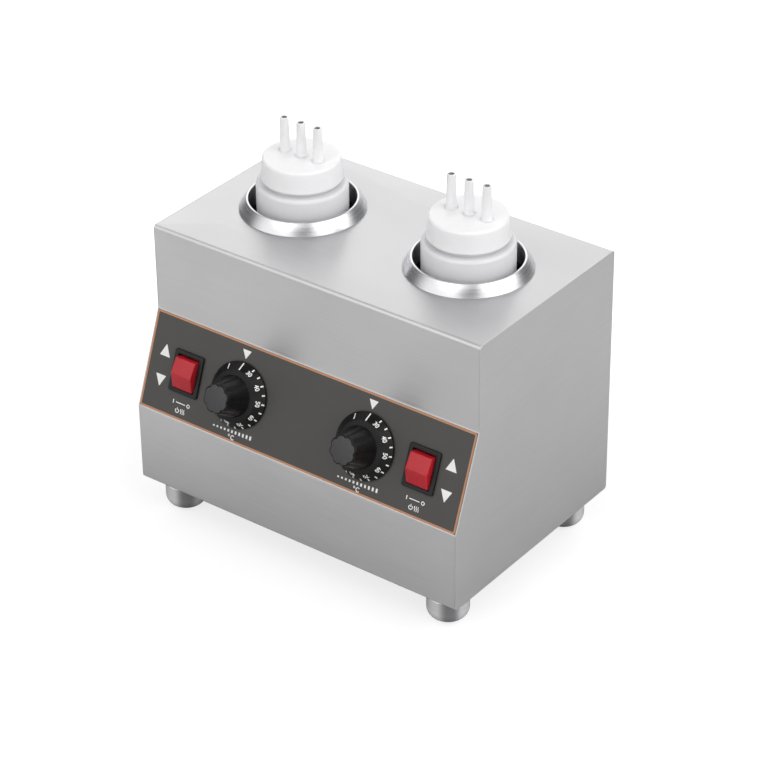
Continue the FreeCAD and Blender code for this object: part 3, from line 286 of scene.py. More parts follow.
def stroke(path: np.ndarray, width: float, low: float, high: float, closed: bool = False) -> Surface:
    """A flat band along a path p: p - n w / 2 and p + n w / 2 at two heights, n square to the path.

    Args:
        path: Rows of (across, up).
        width: The band's width w.
        low: Its underside.
        high: Its face.
        closed: Whether the path's end joins its start.

    Returns:
        Points and outward quads.
    """
    run = np.roll(path, -1, 0) - np.roll(path, 1, 0) if closed else np.gradient(path, axis=0)
    run /= np.linalg.norm(run, axis=1)[:, None]
    square = np.stack([-run[:, 1], run[:, 0]], 1) * width / 2
    corners = [(path - square, low), (path + square, low), (path + square, high), (path - square, high)]
    rings = np.stack([at_height(spots, height) for spots, height in corners], 1)
    if not closed:
        ends = [rings[i : i + 1] * 0 + rings[i].mean(axis=0) for i in (0, len(rings) - 1)]
        rings = np.concatenate([ends[0], rings, ends[1]])
    return loft(rings, closed)


def arc_path(radius: float, start: float, end: float, steps: int = 24) -> np.ndarray:
    """Points (r sin a, r cos a), with a in degrees clockwise from the top."""
    angle = np.radians(np.linspace(start, end, steps))
    return radius * np.stack([np.sin(angle), np.cos(angle)], 1)


def shifted(surface: Surface, across: float, up: float) -> Surface:
    """The same surface, moved over its site."""
    points, faces = surface
    return points + np.array([across, up, 0.0]), faces


def make_piece(name: str, site: Site, surface: Surface) -> bpy.types.Object:
    """A smooth object from a surface given at a site.

    Args:
        name: The piece's name.
        site: Where its local axes are.
        surface: Local points in millimetres, and quads.

    Returns:
        The new object, at the origin, with its place in its mesh.
    """
    points, faces = surface
    mesh = bpy.data.meshes.new(name)
    mesh.from_pydata((site.place(points) * MM).tolist(), [], faces.tolist())
    return link_mesh(name, mesh)


def merge_doubles(mesh: bpy.types.Mesh, distance: float, flatten: bool = False) -> None:
    """Merge a mesh's doubles, and join faces that lie in one plane.

    Args:
        mesh: The mesh to change.
        distance: How close two points are that become one, in metres.
        flatten: Whether flat neighbours are joined.
    """
    work = bmesh.new()
    work.from_mesh(mesh)
    bmesh.ops.remove_doubles(work, verts=work.verts, dist=distance)
    if flatten:
        bmesh.ops.dissolve_limit(work, angle_limit=FLAT_ANGLE, verts=work.verts, edges=work.edges)
    work.to_mesh(mesh)
    work.free()


def link_mesh(name: str, mesh: bpy.types.Mesh) -> bpy.types.Object:
    """Merge a mesh's doubles, shade it smooth up to a sharp angle, and put it in the scene."""
    merge_doubles(mesh, PIECE_MERGE)
    mesh.shade_smooth()
    mesh.set_sharp_from_angle(angle=SMOOTH_ANGLE)
    piece = bpy.data.objects.new(name, mesh)
    bpy.context.scene.collection.objects.link(piece)
    return piece


def copy_of_node(name: str, node: str, bevel: float) -> bpy.types.Object:
    """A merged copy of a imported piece, with its edges broken by a small bevel.

    Args:
        name: The copy's name.
        node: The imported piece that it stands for.
        bevel: The width of the broken edges, in millimetres.

    Returns:
        The copy, not yet dressed or tied to a body.
    """
    mesh = frame["nodes"][node].data.copy()
    merge_doubles(mesh, NODE_MERGE, flatten=True)
    piece = link_mesh(name, mesh)
    edges = piece.modifiers.new("broken_edges", "BEVEL")
    edges.width = bevel * MM
    edges.segments = 2
    edges.limit_method = "ANGLE"
    edges.angle_limit = BROKEN_ANGLE
    edges.harden_normals = True
    return piece


def settle(piece: bpy.types.Object, body: str, material: bpy.types.Material,
           nodes: Sequence[str] = ()) -> None:
    """Dress a piece and tie it to its body.

    Args:
        piece: The finished object.
        body: The body that it moves with.
        material: Its finish.
        nodes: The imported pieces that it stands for.
    """
    piece.data.materials.clear()
    piece.data.materials.append(material)
    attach(piece, body)
    if nodes:
        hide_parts(*nodes)
    LOG.info("%s rides on %s, %d faces", piece.name, body, len(piece.data.polygons))


def lettering(text: str, height: float, low: float, high: float) -> Surface:
    """A number in the built-in font as a thin solid, centred on its site.

    Args:
        text: The number.
        height: How tall its figures are.
        low: Its underside.
        high: Its face.

    Returns:
        Points and outward triangles.
    """
    curve = bpy.data.curves.new("figures", "FONT")
    curve.body = text
    curve.size = 1.0
    curve.offset = FIGURE_WEIGHT
    curve.extrude = 0.5
    curve.resolution_u = FIGURE_STEPS
    holder = bpy.data.objects.new("figures", curve)
    bpy.context.scene.collection.objects.link(holder)
    mesh = bpy.data.meshes.new_from_object(holder)
    mesh.calc_loop_triangles()
    points = np.empty(len(mesh.vertices) * 3)
    mesh.vertices.foreach_get("co", points)
    faces = np.empty(len(mesh.loop_triangles) * 3, int)
    mesh.loop_triangles.foreach_get("vertices", faces)
    for data, owner in ((holder, bpy.data.objects), (curve, bpy.data.curves), (mesh, bpy.data.meshes)):
        owner.remove(data)
    points, faces = points.reshape(-1, 3), faces.reshape(-1, 3)
    lowest, highest = points.min(axis=0), points.max(axis=0)
    points = points - (lowest + highest) / 2
    points[:, :2] *= height / (highest[1] - lowest[1])
    points[:, 2] = np.where(points[:, 2] > 0, high, low)
    return points, facing_out(points, faces)


class Wiring:
    """A shader tree whose nodes are added and joined by short calls."""

    def __init__(self, tree: bpy.types.NodeTree) -> None:
        """Hold the tree."""
        self.tree = tree

    def add(self, kind: str, sockets: dict | None = None, **settings: object) -> bpy.types.Node:
        """Add a node.

        Args:
            kind: Its type, without the ShaderNode at the front.
            sockets: Values or output sockets for its inputs, by name or number.
            settings: Its own settings.

        Returns:
            The node.
        """
        node = self.tree.nodes.new("ShaderNode" + kind)
        for name, value in settings.items():
            setattr(node, name, value)
        self.feed(node, sockets or {})
        return node

    def feed(self, node: bpy.types.Node, sockets: dict) -> None:
        """Set or join a node's inputs by name or number."""
        for name, value in sockets.items():
            if isinstance(value, bpy.types.NodeSocket):
                self.tree.links.new(value, node.inputs[name])
            else:
                node.inputs[name].default_value = value


class Finish(Wiring):
    """A material's nodes, with the patterns that its finish is made of."""

    def __init__(self, name: str) -> None:
        """Start a material with one Principled shader."""
        self.material = bpy.data.materials.new(name)
        self.material.use_nodes = True
        super().__init__(self.material.node_tree)
        self.tree.nodes.clear()
        self.shader = self.add("BsdfPrincipled")
        output = self.add("OutputMaterial")
        self.tree.links.new(self.shader.outputs[0], output.inputs[0])

    def place(self, scale: Sequence[float] = (1, 1, 1),
              shift: Sequence[float] = (0, 0, 0)) -> bpy.types.NodeSocket:
        """Object coordinates, shifted in metres and then stretched."""
        coordinates = self.add("TexCoord").outputs["Object"]
        moved = self.add("VectorMath", {0: coordinates, 1: tuple(shift)}, operation="SUBTRACT")
        return self.add("VectorMath", {0: moved.outputs[0], 1: tuple(scale)}, operation="MULTIPLY").outputs[0]

    def noise(self, vector: bpy.types.NodeSocket, scale: float, detail: float = 3.0) -> bpy.types.NodeSocket:
        """Noise between 0 and 1 at a scale in turns per metre."""
        return self.add("TexNoise", {"Vector": vector, "Scale": scale, "Detail": detail}).outputs["Fac"]

    def spread(self, value: bpy.types.NodeSocket, low: float, high: float) -> bpy.types.NodeSocket:
        """The noise's usual span mapped to a span of its own."""
        least, most = NOISE_SPAN
        sockets = {"Value": value, "From Min": least, "From Max": most, "To Min": low, "To Max": high}
        return self.add("MapRange", sockets).outputs["Result"]

    def about(self, value: bpy.types.NodeSocket, middle: float, swing: float) -> bpy.types.NodeSocket:
        """The noise mapped to a span about a middle."""
        return self.spread(value, middle - swing, middle + swing)

    def tint(self, value: bpy.types.NodeSocket, colour: Colour, tones: Span) -> bpy.types.NodeSocket:
        """A colour that the noise makes darker and lighter by two factors."""
        pair = [(*(part * factor for part in colour), 1.0) for factor in tones]
        mixed = self.add("Mix", {"Factor": self.spread(value, 0.0, 1.0), "A": pair[0], "B": pair[1]},
                         data_type="RGBA")
        return mixed.outputs[2]

    def bump(self, height: bpy.types.NodeSocket, distance: float, strength: float) -> None:
        """Raise the shader's surface by a height pattern over a distance in metres."""
        bump = self.add("Bump", {"Height": height, "Distance": distance, "Strength": strength})
        self.feed(self.shader, {"Normal": bump.outputs[0]})


def linear(red: int, green: int, blue: int) -> Colour:
    """A colour of three 0 to 255 screen values in the linear light that shaders use, by the sRGB curve."""
    shares = np.array([red, green, blue]) / 255
    light = np.where(shares <= 0.04045, shares / 12.92, ((shares + 0.055) / 1.055) ** 2.4)
    return tuple(float(part) for part in light)


@dataclass(frozen=True)
class BrushedSteel:
    """Sheet steel with fine straight brushing and broad, faint clouding."""

    name: str
    grain: Grain
    colour: Colour = linear(226, 226, 227)
    tones: Span = (0.93, 1.04)
    roughness: float = 0.4
    swing: float = 0.04
    line_pitch: float = 1500.0
    line_length: float = 14.0
    line_depth: float = 0.00002
    cloud_pitch: float = 9.0
    anisotropy: float = 0.75

    def material(self) -> bpy.types.Material:
        """Wire the finish: the brushing is noise stretched along the grain."""
        nodes = Finish(self.name)
        scale = [self.line_pitch] * 3
        scale[self.grain.value] = self.line_length
        lines = nodes.noise(nodes.place(scale), 1.0, detail=4.0)
        clouds = nodes.noise(nodes.place(), self.cloud_pitch, detail=2.0)
        total = nodes.add("Math", {0: lines, 1: clouds}, operation="ADD")
        mean = nodes.add("Math", {0: total.outputs[0], 1: 0.5}, operation="MULTIPLY").outputs[0]
        nodes.feed(nodes.shader, {
            "Base Color": nodes.tint(mean, self.colour, self.tones),
            "Metallic": 1.0,
            "Roughness": nodes.about(lines, self.roughness, self.swing),
            "Anisotropic": self.anisotropy,
            "Anisotropic Rotation": QUARTER_TURN,
            "Tangent": nodes.add("CombineXYZ", {self.grain.value: 1.0}).outputs[0],
        })
        nodes.bump(lines, self.line_depth, strength=0.5)
        return nodes.material


@dataclass(frozen=True)
class TurnedMetal:
    """Metal polished while it spins, with fine rings and a highlight that fans out from its axis, and upright
    stripes of painted reflection where it is given them.
    """

    name: str
    centre: tuple[float, float]
    colour: Colour = linear(230, 230, 232)
    roughness: float = 0.28
    swing: float = 0.03
    tones: Span = (0.9, 1.04)
    ring_pitch: float = 2600.0
    ring_depth: float = 0.00002
    anisotropy: float = 0.6
    metallic: float = 1.0
    # Painted reflection: with a count above 0, the colour is darkened in upright stripes about the axis, one
    # of them centred on the heading below.
    bands: int = 0
    band_heading: float = math.radians(-50)
    band_fade: Span = (-0.3, 1.0)
    band_tone: float = 0.33

    def material(self) -> bpy.types.Material:
        """Wire the finish: rings are noise of the distance from the axis and the height."""
        nodes = Finish(self.name)
        spoke = nodes.place((1, 1, 0), (*self.centre, 0))
        reach = nodes.add("VectorMath", {0: spoke}, operation="LENGTH").outputs["Value"]
        height = nodes.add("SeparateXYZ", {0: nodes.place()}).outputs[2]
        spot = nodes.add("CombineXYZ", {0: reach, 1: height}).outputs[0]
        rings = nodes.noise(spot, self.ring_pitch, detail=2.0)
        tangent = nodes.add("VectorMath", {0: (0, 0, 1), 1: spoke}, operation="CROSS_PRODUCT")
        colour = nodes.tint(rings, self.colour, self.tones)
        nodes.feed(nodes.shader, {
            # Painted reflection stripes darken the colour where the finish asks for them.
            "Base Color": self.banded(nodes, spoke, colour) if self.bands else colour,
            "Metallic": self.metallic,
            "Roughness": nodes.about(rings, self.roughness, self.swing),
            "Anisotropic": self.anisotropy,
            "Anisotropic Rotation": QUARTER_TURN,
            "Tangent": tangent.outputs[0],
        })
        nodes.bump(rings, self.ring_depth, strength=0.25)
        return nodes.material

    def banded(self, nodes: Finish, spoke: bpy.types.NodeSocket,
               colour: bpy.types.NodeSocket) -> bpy.types.NodeSocket:
        """Darken a colour in upright stripes of painted reflection, by the cosine of n (a - a0), with a the
        angle about the axis.
        """
        least, most = self.band_fade
        flat = nodes.add("SeparateXYZ", {0: spoke}).outputs
        angle = nodes.add("Math", {0: flat[1], 1: flat[0]}, operation="ARCTAN2").outputs[0]
        turned = nodes.add("Math", {0: angle, 1: self.bands, 2: -self.bands * self.band_heading},
                           operation="MULTIPLY_ADD").outputs[0]
        wave = nodes.add("Math", {0: turned}, operation="COSINE").outputs[0]
        tone = nodes.add("MapRange", {"Value": wave, "From Min": least, "From Max": most, "To Min": 1.0,
                                      "To Max": self.band_tone}, interpolation_type="SMOOTHSTEP")
        return nodes.add("VectorMath", {0: colour, "Scale": tone.outputs[0]}, operation="SCALE").outputs[0]


@dataclass(frozen=True)
class PlainMetal:
    """Plated, drawn or cast metal with small blotches."""

    name: str
    colour: Colour
    roughness: float = 0.38
    blotches: float = 160.0
    tones: Span = (0.88, 1.05)
    swing: float = 0.06
    depth: float = 0.00003

    def material(self) -> bpy.types.Material:
        """Wire the finish: noise moves the tone and the gloss together."""
        nodes = Finish(self.name)
        patches = nodes.noise(nodes.place(), self.blotches, detail=4.0)
        nodes.feed(nodes.shader, {
            "Base Color": nodes.tint(patches, self.colour, self.tones),
            "Metallic": 1.0,
            "Roughness": nodes.about(patches, self.roughness, self.swing),
        })
        nodes.bump(patches, self.depth, strength=0.4)
        return nodes.material


@dataclass(frozen=True)
class Moulded:
    """Moulded plastic, rubber or film: a fine grain, faint clouding and an even gloss."""

    name: str
    colour: Colour
    roughness: float = 0.4
    grain: float = 1800.0
    depth: float = 0.00002
    swing: float = 0.03
    milky: float = 0.0
    milk_colour: Colour = (1.0, 0.95, 0.9)
    milk_reach: float = 0.006
    cloud: float = 0.04
    cloud_pitch: float = 35.0
    gloss: float = 0.5

    def material(self) -> bpy.types.Material:
        """Wire the finish: fine noise lifts the surface, broad noise moves the tone."""
        nodes = Finish(self.name)
        fine = nodes.noise(nodes.place(), self.grain, detail=2.0)
        broad = nodes.noise(nodes.place(), self.cloud_pitch)
        nodes.feed(nodes.shader, {
            "Base Color": nodes.tint(broad, self.colour, (1 - self.cloud, 1 + self.cloud)),
            "Roughness": nodes.about(fine, self.roughness, self.swing),
            "Specular IOR Level": self.gloss,
            "Subsurface Weight": self.milky,
            "Subsurface Radius": self.milk_colour,
            "Subsurface Scale": self.milk_reach,
        })
        nodes.bump(fine, self.depth, strength=0.5)
        return nodes.material


class Palette:
    """Every finish of the warmer, made once."""

    def __init__(self) -> None:
        """Make the materials."""
        self.steel_across = BrushedSteel("brushed_steel_across", Grain.ACROSS).material()
        self.steel_deep = BrushedSteel("brushed_steel_deep", Grain.DEEP).material()
        self.base_steel = PlainMetal("mill_steel", linear(188, 188, 190), 0.42, blotches=60.0).material()
        self.pot_steel = PlainMetal("drawn_steel", linear(150, 150, 153), 0.4, blotches=90.0).material()
        self.zinc = PlainMetal("zinc_plate", linear(190, 192, 195), 0.35, blotches=300.0).material()
        self.brass = PlainMetal("brass", linear(205, 175, 105), 0.32, blotches=300.0).material()
        self.copper = PlainMetal("drawn_copper", linear(200, 135, 100), 0.35, blotches=300.0).material()
        ink = {"grain": 2600.0, "depth": 0.00001}
        self.film = Moulded("panel_film", linear(73, 72, 70), 0.42, cloud=0.03, gloss=0.42, **ink).material()
        self.orange_ink = Moulded("orange_ink", linear(190, 134, 98), 0.45, **ink).material()
        self.white_ink = Moulded("white_ink", linear(244, 244, 242), 0.5, **ink).material()
        self.knob = Moulded("black_gloss_plastic", linear(20, 19, 19), 0.28, grain=1400.0, depth=0.00001,
                            gloss=0.25).material()
        self.knob_face = Moulded("black_matte_face", linear(62, 61, 63), 0.5, depth=0.00003).material()
        self.black = Moulded("black_plastic", linear(26, 26, 27), 0.42, gloss=0.35).material()
        self.red = Moulded("red_plastic", linear(186, 30, 42), 0.3, grain=900.0, depth=0.00001,
                           milky=0.15).material()
        clear = {"grain": 500.0, "depth": 0.00001, "cloud": 0.01}
        self.bottle = Moulded("milky_plastic", linear(236, 235, 237), 0.36, milky=0.5, **clear).material()
        self.cap = Moulded("white_plastic", linear(250, 249, 250), 0.3, milky=0.4, **clear).material()
        # Painted shade: a grey film that darkens the inside of the nozzles' bores.
        self.bore = Moulded("nozzle_bore", linear(168, 167, 166), 0.6).material()
        self.seal = Moulded("soft_seal", linear(228, 226, 220), 0.6).material()
        self.silicone = Moulded("silicone", linear(190, 78, 50), 0.5, grain=700.0).material()
        self.lead = Moulded("lead_sleeve", linear(128, 70, 42), 0.45, grain=700.0).material()
        self.earth = Moulded("earth_sleeve", linear(96, 150, 50), 0.45, grain=700.0).material()
        self.rubber = Moulded("black_rubber", linear(30, 30, 30), 0.65, grain=900.0, depth=0.00004).material()


@dataclass
class TurnedFoot:
    """A turned foot: a rounded bowl under a lip that a fine groove sets off, its finish darkened in upright
    stripes of painted reflection.
    """

    node: str
    colour: Colour = linear(250, 250, 252)
    roughness: float = 0.2
    metallic: float = 0.42
    # Painted reflection: three darker upright stripes round the foot, one facing the front right.
    bands: int = 3
    radius: float = 17.6
    height: float = 28.5
    proud: float = 1.0
    pad_recess: float = 7.7
    pad_depth: float = 3.0
    lip_height: float = 5.4
    groove: float = 0.7
    bowl_round: float = 9.5
    fine_round: float = 0.2
    lip_round: float = 0.3
    top_round: float = 1.0
    steps: int = 10
    around: int = 96

    def build(self) -> None:
        """Make the foot under its corner of the casing."""
        low, high = (np.array(corner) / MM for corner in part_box(self.node))
        site = Site(np.array([*(low + high)[:2] / 2, low[2] - self.proud]), *np.eye(3))
        # The foot's finish carries the painted reflection stripes.
        finish = TurnedMetal("turned_" + self.node, tuple(site.origin[:2] * MM), self.colour, self.roughness,
                             metallic=self.metallic, bands=self.bands).material()
        piece = make_piece(self.node + "_turned", site, revolve(self.profile(), around=self.around))
        settle(piece, "casing", finish, [self.node])

    def profile(self) -> np.ndarray:
        """The foot's section, from the middle of the pad's seat round the bowl to the middle of its top."""
        wall, lip = self.radius, self.height - self.lip_height
        corners = [(0, self.pad_depth, 0), (self.pad_recess, self.pad_depth, 0),
                   (self.pad_recess, self.proud, self.fine_round), (wall, self.proud, self.bowl_round),
                   (wall, lip - self.groove, self.fine_round), (wall - self.groove, lip, self.fine_round),
                   (wall, lip + self.groove, self.lip_round), (wall, self.height, self.top_round),
                   (0, self.height, 0)]
        return rounded_profile(corners, False, self.steps)


@dataclass
class Casing:
    """The folded sheet casing, its base and its feet."""

    palette: Palette
    edge: float = 0.25

    def build(self) -> None:
        """Make the shell, the base and the feet."""
        across, deep = self.palette.steel_across, self.palette.steel_deep
        sheets = {"front_sheet": across, "top_sheet": across, "rear_sheet": across,
                  "side_plate_left": deep, "side_plate_right": deep}
        for node, finish in sheets.items():
            shell = copy_of_node(node + "_skin", node, self.edge)
            settle(shell, "casing", finish, [node])
        base = copy_of_node("base_cover", "base_plate", self.edge)
        settle(base, "casing", self.palette.base_steel, ["base_plate"])
        for name in ("front_left", "front_right", "rear_left", "rear_right"):
            TurnedFoot("foot_" + name).build()


@dataclass
class Well:
    """One heated well: the spun collar and the drawn pot under it."""

    palette: Palette
    side: Side
    collar_radius: float = 52.8
    lip_radius: float = 46.3
    bore_radius: float = 44.6
    collar_height: float = 10.0
    sheet: float = 1.0
    lip_round: float = 0.7
    foot_round: float = 0.12
    foot_width: float = 1.2
    undercut: float = 0.7
    arc_steps: int = 7
    skirt: float = 8.0
    crown: float = 0.35
    crown_steps: int = 12
    collar_around: int = 192
    pot_radius: float = 45.8
    pot_corner: float = 5.0
    pot_depth: float = 165.0
    flange_inset: float = 2.2

    def build(self) -> None:
        """Make the collar and the pot."""
        site = well_site(self.side)
        label = self.side.label
        spun = revolve(self.collar_profile(), True, self.collar_around)
        collar = make_piece(f"collar_{label}_spun", site, spun)
        finish = TurnedMetal(f"polished_collar_{label}", tuple(site.origin[:2] * MM)).material()
        settle(collar, "casing", finish, [f"well_collar_{label}"])
        pot = make_piece(f"pot_{label}_drawn", site, revolve(self.pot_profile()))
        settle(pot, "casing", self.palette.pot_steel, [f"well_pot_{label}"])

    def collar_profile(self) -> np.ndarray:
        """The collar's section, with its cone crowned by a sine of the way up it."""
        skirt_radius = self.bore_radius + self.sheet
        corners = [(self.collar_radius, self.undercut, self.foot_round),
                   (self.lip_radius, self.collar_height, self.lip_round),
                   (self.bore_radius, self.collar_height, self.lip_round), (self.bore_radius, -self.skirt, 0),
                   (skirt_radius, -self.skirt, 0), (skirt_radius, self.collar_height - 2 * self.sheet, 0),
                   (self.collar_radius - self.foot_width, 0, 0), (self.collar_radius - self.sheet, 0, 0)]
        profile = rounded_profile(corners, True, self.arc_steps)
        t = np.linspace(0, 1, self.crown_steps)[1:-1, None]
        start, end = profile[self.arc_steps], profile[self.arc_steps + 1]
        along = (end - start) / np.linalg.norm(end - start)
        square = np.array([along[1], -along[0]])
        cone = start + (end - start) * t + square * self.crown * np.sin(math.pi * t)
        return np.concatenate([profile[:self.arc_steps + 1], cone, profile[self.arc_steps + 1:]])

    def pot_profile(self) -> np.ndarray:
        """The pot's section: floor, wall and flange, and back down its outside."""
        outer = self.pot_radius + self.sheet
        flange = self.collar_radius - self.flange_inset
        corners = [(0, -self.pot_depth, 0), (self.pot_radius, -self.pot_depth, self.pot_corner),
                   (self.pot_radius, self.sheet, 0), (flange, self.sheet, 0), (flange, 0, 0), (outer, 0, 0),
                   (outer, -self.pot_depth - self.sheet, self.pot_corner + self.sheet),
                   (0, -self.pot_depth - self.sheet, 0)]
        return rounded_profile(corners, False)


@dataclass
class SqueezeBottle:
    """A hollow bottle and its screw cap with three nozzles, in heights above the casing top."""

    palette: Palette
    side: Side
    floor: float = -165.0
    radius: float = 38.0
    wall: float = 1.2
    base_round: float = 5.0
    shoulder: float = 25.0
    shoulder_round: float = 3.0
    neck_foot_round: float = 1.0
    neck_radius: float = 30.0
    neck_top: float = 44.4
    rim_round: float = 0.4
    cap_base: float = 29.0
    cap_top: float = 47.8
    cap_base_radius: float = 33.8
    cap_top_radius: float = 32.2
    cap_round: float = 2.4
    cap_lip_round: float = 0.5
    cap_mouth_round: float = 0.3
    cap_ceiling_round: float = 0.5
    cap_wall: float = 1.5
    thread_low: float = 32.3
    thread_lead: float = 8.0
    thread_turns: float = 1.15
    thread_depth: float = 0.8
    thread_base: float = 1.4
    thread_crest: float = 0.6
    thread_sunk: float = 0.4
    thread_steps: int = 161
    thread_growth: float = 14.0
    nozzle_count: int = 3
    nozzle_pitch: float = 17.0
    nozzle_height: float = 29.7
    nozzle_base_radius: float = 4.3
    nozzle_tip_radius: float = 3.5
    nozzle_bore_radius: float = 2.4
    nozzle_flare: float = 1.2
    nozzle_sunk: float = 1.0
    nozzle_around: int = 48
    tip_round: float = 0.6
    tip_inner_round: float = 0.3
    # Painted shade: a thin grey film inside each bore, short of the tip.
    lining_below_tip: float = 0.5
    lining: float = 0.1
    lining_gap: float = 0.01
    steps: int = 9

    def build(self) -> None:
        """Make the bottle, the cap and its nozzles."""
        site = well_site(self.side)
        label = self.side.label
        bottle = make_piece(f"bottle_{label}_blown", site, revolve(self.bottle_profile()))
        settle(bottle, f"bottle_{label}", self.palette.bottle, [f"bottle_{label}"])
        thread = make_piece(f"neck_thread_{label}", site, self.thread())
        settle(thread, f"bottle_{label}", self.palette.bottle)
        surfaces = [revolve(self.cap_profile())] + self.nozzles()
        cap = make_piece(f"cap_{label}_moulded", site, join_surfaces(surfaces))
        settle(cap, f"bottle_cap_{label}", self.palette.cap, [f"bottle_cap_{label}"])
        # Painted shade in the nozzles' bores.
        bores = make_piece(f"nozzle_bores_{label}", site, join_surfaces(self.bore_linings()))
        settle(bores, f"bottle_cap_{label}", self.palette.bore)

    def bottle_profile(self) -> np.ndarray:
        """The bottle's section, up its outside and down its inside."""
        inside = self.radius - self.wall
        throat = self.neck_radius - self.wall
        corners = [(0, self.floor, 0), (self.radius, self.floor, self.base_round),
                   (self.radius, self.shoulder, self.shoulder_round),
                   (self.neck_radius, self.shoulder, self.neck_foot_round),
                   (self.neck_radius, self.neck_top, self.rim_round), (throat, self.neck_top, self.rim_round),
                   (throat, self.shoulder - self.wall, 0),
                   (inside, self.shoulder - self.wall, self.shoulder_round - self.wall),
                   (inside, self.floor + self.wall, self.base_round - self.wall),
                   (0, self.floor + self.wall, 0)]
        return rounded_profile(corners, False, self.steps)

    def thread(self) -> Surface:
        """A ridge up a helix (r cos a, r sin a, z + l a / 2 pi), that grows from a point at each end."""
        along = np.linspace(0, 1, self.thread_steps)[:, None]
        angle = along * self.thread_turns * 2 * math.pi
        size = np.sin(np.clip(np.minimum(along, 1 - along) * self.thread_growth, 0, 1) * math.pi / 2)
        out = np.array([0, 0, self.thread_depth, self.thread_depth]) + self.thread_sunk
        up = np.array([-self.thread_base, self.thread_base, self.thread_crest, -self.thread_crest])
        radius = self.neck_radius - self.thread_sunk + out * np.array([0, 0, 1, 1]) * size
        height = self.thread_low + self.thread_lead * angle / (2 * math.pi) + up * size
        return loft(np.stack([radius * np.cos(angle), radius * np.sin(angle), height], 2))

    def cap_profile(self) -> np.ndarray:
        """The cap's section: out under its disc, down inside, up its tapered side and over its edge."""
        ceiling = self.cap_top - 2 * self.cap_wall
        corners = [(0, ceiling, 0), (self.cap_top_radius - self.cap_wall, ceiling, self.cap_ceiling_round),
                   (self.cap_base_radius - self.cap_wall, self.cap_base, self.cap_mouth_round),
                   (self.cap_base_radius, self.cap_base, self.cap_lip_round),
                   (self.cap_top_radius, self.cap_top, self.cap_round), (0, self.cap_top, 0)]
        return rounded_profile(corners, False, self.steps)

    def nozzles(self) -> list[Surface]:
        """The open tubes, each a closed section turned about its own axis."""
        low, tip = self.cap_top - self.nozzle_sunk, self.cap_top + self.nozzle_height
        foot = self.nozzle_base_radius + self.nozzle_flare
        section = [(self.nozzle_bore_radius, low, 0), (foot, low, 0), (foot, self.cap_top, 0),
                   (self.nozzle_base_radius, self.cap_top + self.nozzle_flare, self.nozzle_flare),
                   (self.nozzle_tip_radius, tip, self.tip_round),
                   (self.nozzle_bore_radius, tip, self.tip_inner_round)]
        return self.in_row(revolve(rounded_profile(section, True), True, self.nozzle_around))

    def bore_linings(self) -> list[Surface]:
        """A dark film on the wall of each nozzle's bore, as painted shade."""
        outer = self.nozzle_bore_radius - self.lining_gap
        inner = outer - self.lining
        low, high = self.cap_top, self.cap_top + self.nozzle_height - self.lining_below_tip
        section = np.array([[inner, low], [outer, low], [outer, high], [inner, high]])
        return self.in_row(revolve(section, True, self.nozzle_around))

    def in_row(self, surface: Surface) -> list[Surface]:
        """One copy of a surface for each nozzle."""
        offsets = (np.arange(self.nozzle_count) - (self.nozzle_count - 1) / 2) * self.nozzle_pitch
        return [shifted(surface, float(x), 0.0) for x in offsets]


